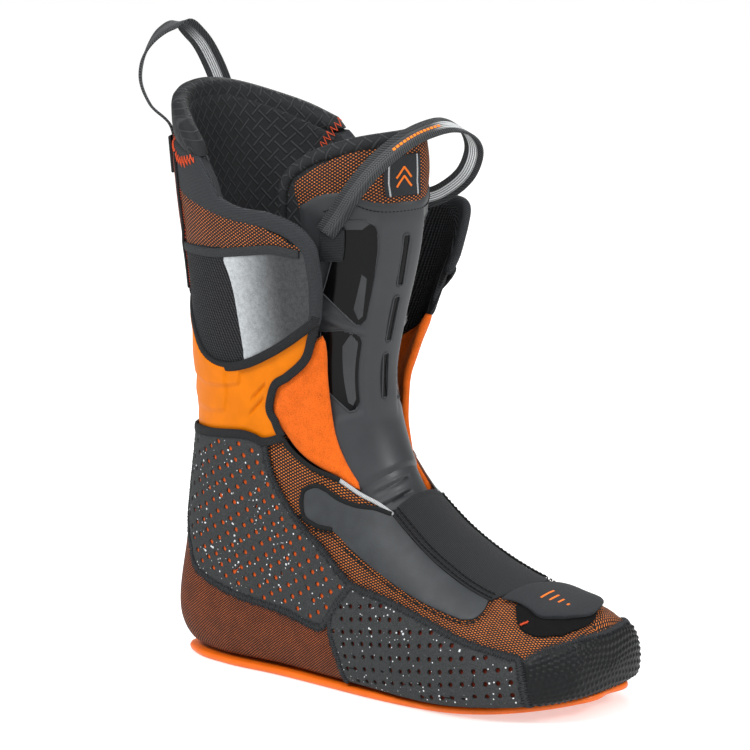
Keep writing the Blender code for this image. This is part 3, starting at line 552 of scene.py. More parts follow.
class Graph:
    """A material's nodes, with sizes in mm."""

    def __init__(self, name, **inputs):
        self.material = bpy.data.materials.new(name)
        self.material.use_nodes = True
        self.tree = self.material.node_tree
        self.shader = self.tree.nodes["Principled BSDF"]
        self.fill(self.shader, inputs)

    def put(self, socket, value):
        if isinstance(value, Value):
            self.tree.links.new(value.socket, socket)
        elif isinstance(value, tuple) and socket.type == "RGBA":
            socket.default_value = (*value, 1)
        else:
            socket.default_value = value

    def fill(self, node, inputs):
        for name, value in inputs.items():
            self.put(node.inputs[name.replace("_", " ")], value)

    def node(self, kind, **inputs):
        made = self.tree.nodes.new("ShaderNode" + kind)
        self.fill(made, inputs)
        return made

    def math(self, operation, *values):
        node = self.node("Math")
        node.operation = operation
        for socket, value in zip(node.inputs, values):
            self.put(socket, value)
        return Value(self, node.outputs[0])

    def step(self, value, start, end):
        """0 at start, 1 at end, and a smooth rise between them."""
        node = self.node("MapRange", Value=value, From_Min=start, From_Max=end)
        node.interpolation_type = "SMOOTHSTEP"
        return Value(self, node.outputs[0])

    def mix(self, share, first, second):
        node = self.node("Mix")
        node.data_type = "RGBA"
        for index, value in ((0, share), (6, first), (7, second)):  # the mix of colours has these inputs
            self.put(node.inputs[index], value)
        return Value(self, node.outputs[2])

    def tones(self, value, start, end, colour, dark, light):
        """A colour that goes from one brightness to another as a value goes from start to end."""
        return self.mix(self.step(value, start, end), shaded(colour, dark), shaded(colour, light))

    def split(self, vector):
        return [Value(self, socket) for socket in self.node("SeparateXYZ", Vector=vector).outputs]

    def pattern(self):
        """Distances along and across the piece."""
        node = self.node("UVMap")
        node.uv_map = "pattern"
        return self.split(Value(self, node.outputs[0]))[:2]

    def place(self, size):
        """The place in the object's own space, counted in sizes."""
        node = self.node("Mapping", Vector=Value(self, self.node("TexCoord").outputs["Object"]))
        node.inputs["Scale"].default_value = [1 / (size * MM)] * 3
        return Value(self, node.outputs[0])

    def noise(self, size, detail=2.0):
        """Noise about 0.5, with blobs of a size."""
        node = self.node("TexNoise", Vector=self.place(size), Scale=1.0, Detail=detail)
        return Value(self, node.outputs[0])

    def cells(self, size):
        """How far the nearest of scattered points is, as a share of their spacing."""
        return Value(self, self.node("TexVoronoi", Vector=self.place(size), Scale=1.0).outputs["Distance"])

    def wave(self, distance, period, shift=0.0):
        """A sine of a distance, from -1 to 1."""
        return self.math("SINE", distance * (2 * math.pi / period) + shift)

    def bump(self, height):
        bump = self.node("Bump", Distance=MM, Height=height)
        self.put(self.shader.inputs["Normal"], Value(self, bump.outputs[0]))

    def colour(self, value):
        self.put(self.shader.inputs["Base Color"], value)
        return self.material


def shaded(colour, factor):
    return tuple(min(channel * factor, 1.0) for channel in colour)


BLACK = (0.012, 0.0125, 0.0135)
GREY = (0.075, 0.08, 0.085)
ORANGE = (0.93, 0.23, 0.012)


def net_look(name, thread, dots, along, across, depth=0.22, fleck=0.5, wide=0.12):
    """Open net: rows of staggered oval dots of the cloth below between raised threads."""
    g = Graph(name, Roughness=0.75, Specular_IOR_Level=0.2)
    u, v = g.pattern()
    rows = g.wave(u, 2 * along, math.pi / 2) * g.wave(v, 2 * across, math.pi / 2)
    dot = g.step(rows, wide, wide + 0.38)
    fibre = g.noise(0.35, 3)
    bright = g.tones(fibre, 0.35, 0.75, dots, 0.55, 1.35)
    bright = g.mix(g.step(g.noise(9), 0.35, 0.7) * fleck, bright, shaded(dots, 0.5))
    g.bump(fibre * 0.08 - dot * depth)
    return g.colour(g.mix(dot, g.tones(fibre, 0.4, 0.7, thread, 0.6, 1.9), bright))


def knit_look(name, colour, pitch=0.9, contrast=2.0, depth=0.16):
    """Knitted or woven tape: short slanting loops, speckled where the yarn catches the light."""
    g = Graph(name, Roughness=0.85, Specular_IOR_Level=0.2)
    u, v = g.pattern()
    height = g.wave(v * 0.6 + u, pitch) * g.wave(v, pitch * 1.6) * 0.5 + g.noise(0.28, 3)
    g.bump(height * depth)
    return g.colour(g.tones(height, 0.25, 1.05, colour, 0.55, contrast))


def foam_look(name, colour):
    """Punched foam felt with pale flecks scattered through it."""
    g = Graph(name, Roughness=0.85, Specular_IOR_Level=0.2)
    grain = g.noise(0.6, 4)
    fleck = g.math("LESS_THAN", g.cells(2.6), g.noise(5.5, 1) * 0.62 - 0.2)
    g.bump(fleck * 0.1 + grain * 0.12)
    return g.colour(g.mix(fleck, g.tones(grain, 0.35, 0.7, colour, 0.7, 1.3), (0.55, 0.57, 0.58)))


def pile_look(name, colour, sheen=0.0):
    """Brushed velour: short pile that darkens where it is pressed."""
    g = Graph(name, Roughness=0.95, Specular_IOR_Level=0.1, Sheen_Weight=sheen, Sheen_Tint=(1.0, 0.45, 0.2))
    tuft = g.noise(0.45, 4)
    g.bump(tuft * 0.35)
    return g.colour(g.tones(g.noise(5, 3) * 0.25 + tuft * 0.75, 0.3, 0.68, colour, 0.65, 1.12))


def moulded_look(name, colour, roughness, grain=0.02, size=0.5, shine=0.35):
    """A smooth moulding: fine grain, faint clouding and rubbed patches."""
    g = Graph(name, Specular_IOR_Level=shine)
    patchy = g.noise(14, 3)
    g.fill(g.shader, {"Roughness": patchy * 0.16 + (roughness - 0.08)})
    g.bump(g.noise(size) * grain)
    return g.colour(g.tones(patchy, 0.3, 0.75, colour, 0.93, 1.08))


def leather_look(name, colour):
    """Synthetic leather: fine pebbled grain under a satin film."""
    g = Graph(name, Roughness=0.5, Specular_IOR_Level=0.22)
    g.bump(g.cells(0.55) * 0.05)
    return g.colour(g.tones(g.noise(11, 3), 0.3, 0.75, colour, 0.85, 1.15))


def ribbed_look(name, colour, pitch, contrast, depth, lean=0.0):
    """Ribbed or corded cloth: parallel ribs with yarn crossing them."""
    g = Graph(name, Roughness=0.85, Specular_IOR_Level=0.2)
    u, v = g.pattern()
    rib = g.wave(g.noise(3, 1) * 0.5 + (u * lean + v), pitch)
    height = rib * 0.5 + (g.wave(u, pitch * 0.7) * 0.25 + g.noise(0.3, 3))
    g.bump(height * depth)
    return g.colour(g.tones(height, 0.2, 1.1, colour, 0.5, contrast))


def print_look(name, back, front, x_back, x_front):
    """Woven cloth with a metallic print that fades towards the front."""
    g = Graph(name, Roughness=0.5, Metallic=0.35)
    fade = g.step(g.split(g.place(1))[0], x_back, x_front)
    grain = g.noise(0.5, 3)
    g.bump(grain * 0.12)
    dark = g.mix(fade, shaded(back, 0.6), shaded(front, 0.35))
    speckle = g.step(grain * 0.6 + g.noise(2.2, 3) * 0.4, 0.3, 0.65)
    return g.colour(g.mix(speckle, dark, g.mix(fade, back, front)))


def stripe_look(name, pale_from, dash_from, dash_to):
    """Webbing: a black herringbone, pale lengthwise lines past one run, and an orange dashed line."""
    g = Graph(name, Roughness=0.7, Specular_IOR_Level=0.3)
    u, v = g.pattern()
    away = g.math("ABSOLUTE", v)
    lines = g.step(g.wave(v, 1.15), -0.95, -0.2)
    tone = g.step(u, pale_from - 8, pale_from + 8) * 0.95 + 0.05
    pale = lines * (1.0 - g.step(away, 2.1, 2.7)) * tone
    bone = g.wave(away * 1.4 + u, 1.5)
    edge = g.mix(g.step(bone, -0.2, 0.9), shaded(BLACK, 0.6), shaded(GREY, 0.8))
    span = g.step(u, dash_from, dash_from + 0.5) * g.step(u, dash_to, dash_to - 0.5)
    dash = span * g.math("LESS_THAN", away, 0.7) * g.step(g.wave(u, 2.4), -0.75, -0.6)
    g.bump(bone * 0.1 + lines * 0.08)
    return g.colour(g.mix(dash, g.mix(pale, edge, (0.66, 0.68, 0.69)), ORANGE))


def embossed_look(name, colour, size, mark):
    """Charcoal lining pressed with short crossing strokes in a basket weave; the strokes take the lighter
    mark colour, a painted highlight on their raised ridges.
    """
    g = Graph(name, Roughness=0.7, Specular_IOR_Level=0.25)
    u, v = g.pattern()
    share = 1 / (size * math.sqrt(2))
    a, b = (u + v) * share, (u - v) * share
    height = 0.0
    for over, run, shift in ((a, b, 0.0), (b, a, 0.5)):
        over = over + shift
        near = g.math("ABSOLUTE", g.math("FRACT", over) - 0.5)
        part = g.math("FRACT", (run + shift + g.math("FLOOR", over)) * 0.5)
        stroke = g.step(near, 0.11, 0.04) * g.step(g.math("ABSOLUTE", part - 0.5), 0.42, 0.36)
        height = g.math("MAXIMUM", height, stroke)
    fibre = g.noise(0.5, 3)
    g.bump(height * 0.4 + fibre * 0.14)
    # mark colours the strokes: painted highlight on the raised strokes
    return g.colour(g.mix(height, g.tones(fibre, 0.35, 0.7, colour, 0.7, 1.3), mark))


# ---------------------------------------------------------------- helpers for pieces

SIDES = (("lateral", 1), ("medial", -1))
# Where the cloth bends between two bodies: bodies, start and end in metres
ANKLE = ("foot", "cuff", (0, 0, 0.128), (0, 0, 0.172))
THROAT_BEND = ("foot", "tongue_throat", (0.088, 0, 0.083), (0.070, 0, 0.110))
TONGUE_BEND = ("tongue_throat", "tongue", (0.064, 0, 0.121), (0.059, 0, 0.146))


def flap_bend(side):
    hinge = (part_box(f"{side}_flap_pad")[0].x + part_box(f"{side}_ribbed_panel")[1].x) / 2
    return ("cuff", f"{side}_flap", (hinge - 0.012, 0, 0), (hinge + 0.012, 0, 0))


def settle(piece, where, slot, *nodes):
    """Puts a piece on a body; given a bend between two bodies instead, it only bakes the piece's transform.
    Hides the CAD nodes it stands for.
    """
    if isinstance(where, str):
        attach(piece, where)
    else:
        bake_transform(piece)
    if nodes:
        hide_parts(*nodes)


def layer(name, surface, lines, look, sheet, where, slot, *nodes, **shape):
    """A sheet cut from a surface, put on its body, or only baked in place where a bend is given."""
    settle(patch(name, surface, lines, look, sheet, **shape), where, slot, *nodes)


def strands(name, parts, look, where, slot, *nodes):
    """Bands, cords or threads joined into one piece, put on its body, or only baked in place where a bend is
    given.
    """
    points, faces, patterns = [], [], []
    count = 0
    for part_points, part_faces, part_pattern in parts:
        points.append(part_points)
        patterns.append(part_pattern)
        faces += [tuple(i + count for i in face) for face in part_faces]
        count += len(part_points)
    piece = mesh_object(name, np.concatenate(points), faces, np.concatenate(patterns), look)
    settle(piece, where, slot, *nodes)


def turned(lines, sign):
    return [[(first, sign * second) for first, second in line] for line in lines]


def mirrored(half):
    """Lines along the lateral half of an outline, and on along the medial half back to the start."""
    return [*half, *[line[::-1] for line in reversed(turned(half, -1))]]


def round_back(line):
    """A lateral line's other half, counted on round the back."""
    return [(station, 360 - angle) for station, angle in reversed(line)]


def rounded(half):
    """Like mirrored, but counted on round the back."""
    return [*half, *[round_back(line) for line in reversed(half)]]


def straight(*corners):
    """The straight sides of a closed outline."""
    return [[a, b] for a, b in zip(corners, corners[1:] + corners[:1])]


def forward(station, angle):
    """How many degrees further forward the medial side's flap and collar reach."""
    front = 16 * float(ease(85 - angle, 0, 20)) * float(ease(station, 175, 290))
    top = 14 * float(ease(station, 345, 385)) * (1 - float(ease(angle, 120, 140)))
    return max(front, top)


def opened(lines, sign):
    """Like turned, but the medial side's front edges reach further forward."""
    if sign > 0:
        return lines
    return [[(station, forward(station, angle) - angle) for station, angle in line] for line in lines]


def soft(rise, reach=6.0):
    """Relief of stuffed cloth: full inside, pulled down at its edges."""
    return lambda spots, edge: rise * (1 - np.exp(-edge / reach)) - rise * 0.5


def rumpled(rise, reach, bumps, size, seed):
    """Relief of stuffed cloth with smooth uneven bumps."""
    return lambda spots, edge: rise * (1 - np.exp(-edge / reach)) + bumps * ripple(spots, size, seed)


def ripple(spots, size, seed):
    """Smooth uneven bumps over a piece, from -1 to 1."""
    rng = np.random.default_rng(seed)
    value = np.zeros(len(spots))
    for _ in range(6):
        heading = rng.uniform(0, 2 * math.pi)
        wave = 2 * math.pi / (size * rng.uniform(0.7, 1.6))
        run = spots[:, 0] * math.cos(heading) + spots[:, 1] * math.sin(heading)
        value += np.sin(run * wave + rng.uniform(0, 6.3))
    return value / 4


# ---------------------------------------------------------------- looks

LOOK_NET = net_look("vamp_net", shaded(BLACK, 0.8), (0.82, 0.21, 0.03), 1.5, 0.88, wide=0.2)
LOOK_FLAP_NET = net_look("flap_net", shaded(BLACK, 0.8), (0.74, 0.2, 0.035), 0.88, 1.45, wide=0.3)
LOOK_WRAP = net_look("heel_net", (0.013, 0.006, 0.005), (0.46, 0.105, 0.02), 0.7, 1.05, 0.16, 0.6)
LOOK_RED_NET = net_look("rear_net", (0.02, 0.006, 0.006), (0.75, 0.1, 0.035), 0.68, 1.1, 0.15)
LOOK_FOAM = foam_look("punched_foam", (0.032, 0.034, 0.035))
LOOK_BACKING = pile_look("orange_backing", (0.7, 0.11, 0.02))
LOOK_DARK_BACKING = pile_look("red_backing", (0.13, 0.02, 0.01))
LOOK_TAPE = knit_look("black_tape", (0.008, 0.0083, 0.009), 0.9, 4.5, 0.3)
LOOK_GREY_KNIT = knit_look("grey_knit", (0.026, 0.028, 0.031), 0.75, 1.9, 0.14)
LOOK_SPECKLED = knit_look("speckled_tape", (0.014, 0.015, 0.016), 0.7, 4.5)
LOOK_LINING = knit_look("lining", (0.014, 0.015, 0.0165), 0.7, 1.7, 0.1)
# The embossed lining's last colour is painted highlight on its raised strokes
LOOK_EMBOSSED = embossed_look("embossed_lining", (0.0105, 0.0113, 0.0125), 6.0, (0.028, 0.03, 0.032))
LOOK_SHELL = moulded_look("ankle_shell_foam", (0.6, 0.15, 0.001), 0.5, 0.015, 0.6, shine=0.08)
LOOK_SOLE = moulded_look("sole_orange", (0.74, 0.13, 0.006), 0.4, 0.02, 0.5)
LOOK_RUBBER = moulded_look("tongue_rubber", (0.026, 0.028, 0.031), 0.42, 0.02, 0.35)
LOOK_WINDOW = moulded_look("window_gloss", (0.003, 0.0031, 0.0036), 0.16, 0.003, 0.6, shine=0.14)
# Lighter grey for strips over the tongue's windows: painted highlight standing in for the glossy windows'
# reflection
LOOK_WINDOW_HIGHLIGHT = moulded_look("window_facet", (0.036, 0.038, 0.04), 0.16, 0.003, 0.6, shine=0.2)
LOOK_TOE = moulded_look("toe_rubber", (0.006, 0.0065, 0.007), 0.42, 0.03, 0.3, shine=0.17)
LOOK_LEATHER = leather_look("synthetic_leather", (0.031, 0.034, 0.037))
LOOK_ELASTIC = ribbed_look("elastic", (0.016, 0.017, 0.0185), 0.95, contrast=1.8, depth=0.12)
LOOK_RIBBED = ribbed_look("ribbed_cloth", (0.006, 0.0064, 0.007), 2.1, contrast=5.0, depth=0.35, lean=0.45)
LOOK_VELOUR = pile_look("velour", (0.68, 0.118, 0.01), 0.25)
LOOK_PATCH = pile_look("loop_patch", (0.007, 0.007, 0.0075))
LOOK_LABEL = knit_look("label_cloth", (0.024, 0.026, 0.029), 0.5, 1.5, 0.06)
LOOK_SILVER = print_look("silver_print", (0.54, 0.57, 0.59), (0.036, 0.039, 0.042), -18, 26)
LOOK_TONGUE_LOOP = stripe_look("tongue_webbing", 96, 62, 96)
LOOK_REAR_LOOP = stripe_look("rear_webbing", 96, 0, -1)
LOOK_ANCHOR = knit_look("anchor_tape", (0.012, 0.013, 0.014), 0.9, 3.0)
LOOK_PIPING = knit_look("pale_piping", (0.45, 0.46, 0.47), 0.8, 1.3)
LOOK_THREAD = knit_look("black_thread", (0.007, 0.0075, 0.008), 0.5, 2.0, 0.05)
LOOK_GREY_THREAD = knit_look("grey_thread", (0.034, 0.036, 0.039), 0.5, 2.2, 0.05)
LOOK_RED_THREAD = knit_look("red_thread", (0.75, 0.09, 0.03), 0.5, 1.5, 0.05)
LOOK_MARK = knit_look("orange_print", (0.9, 0.2, 0.02), 0.6, 1.1, 0.03)

# ---------------------------------------------------------------- design lines, on the lateral side

ANKLE_SEAM = [(242, 71), (254, 84), (272, 100), (285, 118), (294, 136), (299, 158), (300, 180)]
THROAT = [(244, 72), (222, 64), (205, 57), (188, 48), (174, 41), (159, 33), (150, 30)]
SHELL_FRONT = [(292, 60), (280, 60), (270, 62), (272, 72), (275, 80), (269, 82), (254, 76), (242, 71)]
HEEL_FRONT = [(249, 82), (230, 78), (210, 74), (196, 72), (179, 69), (158, 68)]
HEEL_FOOT = [(158, 68), (167, 84), (172, 93), (180, 99), (191, 104), (214, 113), (232, 119), (253, 128)]
HEEL_BACK = [(253, 128), (268, 140), (297, 150)]
HEEL_TOP = [(297, 150), (291, 134), (283, 117), (270, 100), (255, 86), (249, 82)]
FOREFOOT_TOP = [(158, 68), (127, 62), (90, 59), (62, 60), (36, 62)]
FOREFOOT_TOE = [(36, 62), (31, 78), (28, 98), (27, 126)]
FOREFOOT_SOLE = [(27, 126), (45, 121), (75, 120), (105, 121), (130, 123), (150, 126)]
FOREFOOT_HEEL = [(150, 126), (158, 102), (167, 84), (158, 68)]


# ---------------------------------------------------------------- foot


def floor_shape(x, y):
    x, y = np.broadcast_arrays(np.asarray(x, float), np.asarray(y, float))
    return np.stack([x, y, toe_lift(x)], -1)


FLOOR = Surface(floor_shape, np.arange(-90, 206, 4), np.arange(-64, 65, 4), (54, 0), 1.0, 0.25)


def sole_outline(inset, length_share=1.0, width_share=1.0, centre=(55.0, 2.0)):
    lateral = [(x, inset - out) for x, out, _ in SOLE_PLAN]
    inner = [(x, out - inset) for x, _, out in reversed(SOLE_PLAN)]
    heel, toe = (SOLE_HEEL[0] + inset, SOLE_HEEL[1]), (SOLE_TOE[0] - inset, SOLE_TOE[1])
    line = np.array([heel, *lateral, toe, *inner, heel], float)
    return [((line - centre) * (length_share, width_share) + centre).tolist()]


def build_sole():
    board = (SOLE_THICK, SOLE_THICK, 4.0, SOLE_THICK / 2)
    layer("sole_board", FLOOR, sole_outline(5.6), LOOK_SOLE, board, "foot", "sole_board", "sole_plate")
    wave = lambda spots, edge: 0.8 * ease(edge, 0, 6) + 0.15 * ripple(spots, 18, 3)
    bed = (15.2, 2.6, 3.5, 1.2)
    outline = sole_outline(0, 0.86, 0.7)
    layer("insole", FLOOR, outline, LOOK_LINING, bed, "foot", "footbed_cloth", "footbed", relief=wave)


def lattice(lines, lean):
    """Coordinates of a square lattice of holes, laid out on the side of the boot seen flat."""
    outline = BOOT.loop(lines, 4.0)
    low, high = outline.min(axis=0), outline.max(axis=0)
    stations, angles = np.arange(low[0], high[0], 0.6), np.arange(low[1], high[1], 0.5)
    spots = np.stack(np.meshgrid(stations, angles, indexing="ij"), -1).reshape(-1, 2)
    turn = math.radians(lean)
    axes = np.array([[math.cos(turn), math.sin(turn)], [-math.sin(turn), math.cos(turn)]])
    cell = BOOT.shape(*spots.T)[:, [0, 2]] @ axes.T / HOLE_PITCH
    target = np.round(cell)
    off = np.linalg.norm(cell - target, axis=1)
    best = {}
    for index in np.flatnonzero(off < 0.2):
        key = tuple(target[index])
        if key not in best or off[index] < off[best[key]]:
            best[key] = index
    return spots[sorted(best.values())]


def punched_panel(name, lines, edges, lean, look, backing, thick, corner, relief=None):
    """Punched foam over felt that shows through its holes, with overlocked edges."""
    layer(f"{name}_backing", BOOT, lines, look, backing, "foot", "perforated_foam", relief=relief)
    stuffed = lambda spots, edge: 0.5 * (1 - np.exp(-edge / 5)) - 0.6 * (1 - ease(edge, 0, 2.5))
    foam = {"relief": stuffed, "holes": lattice(lines, lean)}
    sheet = (0.2, thick, 2.2, corner)
    names = ("foot", "perforated_foam", f"{name}_panel")
    layer(f"{name}_panel_cloth", BOOT, lines, LOOK_FOAM, sheet, *names, **foam)
    tapes, rows = [], []
    for k, line in enumerate(edges):
        tapes.append(trim_arrays(BOOT, line, 0, 3.8, 0.9, pitch=1.6, sides=8))
        for turn, (reach, pitch) in enumerate(((4.6, 1.5), (3.8, 1.1))):
            rows.append(zigzag(line, 0.65, reach, pitch, 0.5, 5, 0.35, 0.3, 10 * k + turn))
    strands(f"{name}_edge_tape", tapes, LOOK_TAPE, "foot", "binding")
    strands(f"{name}_edge_thread", rows, LOOK_GREY_THREAD, "foot", "binding")


def build_panels():
    for side, sign in SIDES:
        lines = turned([HEEL_FRONT, HEEL_FOOT, HEEL_BACK, HEEL_TOP], sign)
        backing = (-0.55, 0.4, 3.5, 0.1)
        punched_panel(f"{side}_heel", lines, lines[:3], 28, LOOK_BACKING, backing, 0.6, 0.2, soft(0.4))
        lines = turned([FOREFOOT_TOP, FOREFOOT_TOE, FOREFOOT_SOLE, FOREFOOT_HEEL], sign)
        edges = [*lines[:2], lines[3][:3]]  # its last stretch lies along the heel panel's edge
        backing = (-1.1, 0.15, 3.5, 0.05)
        punched_panel(f"{side}_forefoot", lines, edges, 8, LOOK_DARK_BACKING, backing, 1.0, 0.25)


def build_sock():
    """The net sleeve under everything, the finer net round the heel, and the padding inside."""
    low = [(6, 150), (60, 150), (150, 150), (215, 150), (250, 150), (291, 150)]
    seam = [(291, 150), *ANKLE_SEAM[-3:0:-1], (244, 72)]
    instep = [(150, 30), (110, 29), (78, 27), (68, 14), (66, 0)]
    lines = [[(6, -150), (6, -75), (6, 0), (6, 75), (6, 150)], *mirrored([low, seam, THROAT, instep])]
    sheet = (NET_DEPTH, 0.8, 2.2, 0.25)
    layer("net_sock", BOOT, lines, LOOK_NET, sheet, "foot", "net", "net_sleeve", place=foot_place)

    flat = [(150, 126), (170, 133), (205, 140), (226, 152), (232, 180)]
    half = [HEEL_BACK[::-1], HEEL_FOOT[:0:-1] + [(164, 80)], [(164, 80), (158, 102), (150, 126)], flat]
    lines = [*rounded(half), [(297, 210), (299, 196), (300, 180), (299, 164), (297, 150)]]
    sheet = (WRAP_DEPTH, 0.6, 2.2, 0.25)
    layer("heel_wrap_net", BOOT, lines, LOOK_WRAP, sheet, "foot", "net", "heel_wrap", place=leg_place)

    rim = [(283, 150), (276, 124), (262, 100), (238, 84), (216, 76), (200, 70), (186, 64), (172, 58)]
    inner = [(172, 58), (155, 51), (130, 46), (95, 42), (84, 22), (84, 0)]
    sole = [(12, 168), (60, 168), (150, 168), (215, 165), (245, 160), (283, 150)]
    lines = [[(12, -168), (14, -80), (14, 0), (14, 80), (12, 168)], *mirrored([sole, rim, inner])]
    sheet = (-2.8, 4.0, 3.2, 1.2)
    layer("foot_padding", BOOT, lines, LOOK_LINING, sheet, ANKLE, "foam", "foot_foam")
    back = [(283, 210), (232, 204), (228, 180), (232, 156), (283, 150)]
    lines = [back, [(283, 150), (286, 180), (283, 210)]]
    layer("heel_padding", BOOT, lines, LOOK_LINING, sheet, ANKLE, "foam")


def knobs(spots, edge):
    """Close-packed round knobs that fade out at the edges."""
    away = nearest(TOE.shape(*spots.T), TOE.shape(*TOE.fill(spots, 3.4).T))
    return 0.9 * np.exp(-((away / 1.05) ** 2)) * ease(edge, 1.5, 3.5) - 0.3 * (1 - ease(edge, 0, 2))


def build_toe():
    side = [(33, 64), (26, 55), (15, 44), (9, 28)]
    half = [[(14, 180), (24, 150), (26, 126), (27, 98), (30, 78), (33, 64)], [*side, (7, 12), (6, 0)]]
    lines = [on_toe(line) for line in mirrored(half)]
    sheet = (0.2, 1.0, 0.75, 0.3)
    layer("toe_cap_rubber", TOE, lines, LOOK_TOE, sheet, "foot", "toe_rubber", "toe_cap", relief=knobs)
    edge = [*side, (6, 0), *turned([side[::-1]], -1)[0]]
    rows = []
    for turn, (reach, pitch) in enumerate(((3.4, 1.4), (2.6, 1.0))):
        rows.append(zigzag(edge, 0.35, reach, pitch, 0.42, 5, wander=0.25, seed=40 + turn))
    strands("toe_cap_edge_thread", rows, LOOK_GREY_THREAD, "foot", "toe_rubber")

    lines = [
        [(54, 27), (44, 40), (31, 43), (20, 37)],
        [(20, 37), (15, 22), (15, 6), (20, -8)],
        [(20, -8), (29, -22), (40, -26), (50, -22)],
        [(50, -22), (56, 0), (54, 27)],
    ]
    sheet = (0.5, 1.6, 1.8, 0.5)
    names = ("foot", "binding", "toe_patch")
    layer("toe_loop_patch", BOOT, lines, LOOK_PATCH, sheet, *names, relief=soft(0.7, 3))
    tack = [zigzag([(44, 40), (41, 36)], 1.3, 1.4, 0.7, 0.45, 6, dip=0.1)]
    strands("toe_patch_bar_tack", tack, LOOK_RED_THREAD, "foot", "binding")


def build_tab():
    """The cloth tab over the toe, lifting a little at its free edge, with a plain printed mark."""
    lines = [
        [(63, 27), (57, 0), (50, -27)],
        [(50, -27), (36, -28), (26, -22), (20, -8), (18, 8), (25, 24)],
        [(25, 24), (35, 30), (48, 26), (56, 25), (63, 27)],
    ]

    def curl(spots, edge):
        free = ease(58 - spots[:, 0], 0, 34)
        return 0.7 * free + 0.9 * free * ease(spots[:, 1], 4, 28) + 0.1 * ripple(spots, 30, 5)

    lift = 2.0
    sheet = (lift, 0.9, 1.6, 0.35)
    layer("toe_tab_cloth", BOOT, lines, LOOK_LABEL, sheet, "toe_tab", "label_cloth", "toe_tab", relief=curl)
    marks = []
    for k in range(4):
        station = 46 - 5.2 * k
        spots = BOOT.curve([(station, 2 + 2.5 * k), (station, 15 - 1.0 * k)], 1.0)
        height = lift + curl(spots, None)
        marks.append(tube_arrays(BOOT.lift(spots, height), BOOT.basis(spots)[3], 1.2, 0.25, 8))
    strands("toe_tab_bars", marks, LOOK_MARK, "toe_tab", "label_cloth")


def build_instep():
    top = [(200, 69), (205, 65), (201, 60), (194, 56), (184, 52), (172, 45), (160, 36), (151, 31)]
    middle = [(151, 31), (110, 31), (70, 31)]
    front = [(70, 31), (69, 38), (71, 44), (78, 48)]
    foot = [(78, 48), (109, 52), (135, 54.5), (164, 57.5), (180, 61), (191, 67), (200, 69)]
    smooth = {"relief": rumpled(0.35, 4, 0.12, 60, 7)}
    sheet = (0.0, 1.0, 2.0, 0.4)
    for side, sign in SIDES:
        lines = turned([top, middle, front, foot, foot[-3:] + top[1:]], sign)
        names = ("foot", "synthetic_leather", f"{side}_instep_overlay")
        layer(f"{side}_instep_leather", BOOT, lines[:4], LOOK_LEATHER, sheet, *names, **smooth)
        rows = []
        for line, inset in ((lines[3], 2.4), (lines[1], 2.4), (lines[1], 5.2), (lines[2], 2.4)):
            rows += stitch_arrays(BOOT, line, 0.6, 2.7, 1.5, 0.4, sign * inset)
        strands(f"{side}_instep_stitching", rows, LOOK_THREAD, "foot", "synthetic_leather")
        edge = trim_arrays(BOOT, lines[4], 0.1, 2.6, 1.3)
        strands(f"{side}_instep_edge", [edge], LOOK_THREAD, "foot", "synthetic_leather")
    half = [[(58, 0), (61, 14), (69, 30)], [(69, 30), (110, 30), (150, 30)], [(150, 30), (148, 14), (147, 0)]]

    def stretched(spots, edge):
        hem = np.exp(-(((edge - 3.2) / 0.7) ** 2)) * ease(spots[:, 0], 138, 142)
        return 0.15 * ripple(spots, 34, 9) - 0.3 * hem

    names = ("foot", "elastic", "instep_gusset")
    sheet = (-0.1, 0.9, 1.8, 0.3)
    layer("instep_elastic", BOOT, mirrored(half), LOOK_ELASTIC, sheet, *names, relief=stretched)
    rib = trim_arrays(BOOT, [(150, -29), (110, -29), (72, -29)], 0.5, 2.4, 1.2)
    strands("gusset_medial_edge", [rib], LOOK_ELASTIC, "foot", "elastic")


def build_throat():
    """Edges of the throat: a black rolled edge above, a pale piping below."""
    for side, sign in SIDES:
        upper, lower = turned([THROAT[:4], THROAT[3:]], sign)
        roll = trim_arrays(BOOT, upper, -0.3, 2.8, 2.2)
        strands(f"{side}_throat_roll", [roll], LOOK_THREAD, ANKLE, "binding")
        piping = trim_arrays(BOOT, lower, -0.5, 2.2 if sign > 0 else 5.0, 1.2)
        names = ("foot", "piping", f"{side}_throat_piping")
        strands(f"{side}_throat_piping_cord", [piping], LOOK_PIPING, *names)


# ---------------------------------------------------------------- ankle and cuff


def shell_relief(spots, edge):
    """Moulded steps on the sides and flex bellows across the back."""
    station, angle = spots.T
    away = np.minimum(angle, 360 - angle)
    back = ease(away, 138, 160)
    bellows = 1.7 * np.abs(np.sin((station - 301) * math.pi / 13)) * back * ease(station, 296, 304)
    line = 293 + 0.52 * (away - 106)
    step = 1.6 * ease(station, line, line + 1.6) * ease(away, 104, 105.5)
    ledge = 1.2 * ease(station, line - 9, line - 7.4) * ease(away, 112, 113.5)
    slots = 1.2 * sum(np.exp(-(((station - at) / 1.1) ** 2)) for at in (275, 281)) * ease(away, 87, 89)
    slots *= 1 - ease(away, 95, 97)
    pattern = bellows + (step + ledge) * (1 - 0.7 * back) - slots
    return pattern * ease(edge, 2, 5) - 0.4 * (1 - ease(edge, 0, 2.5))


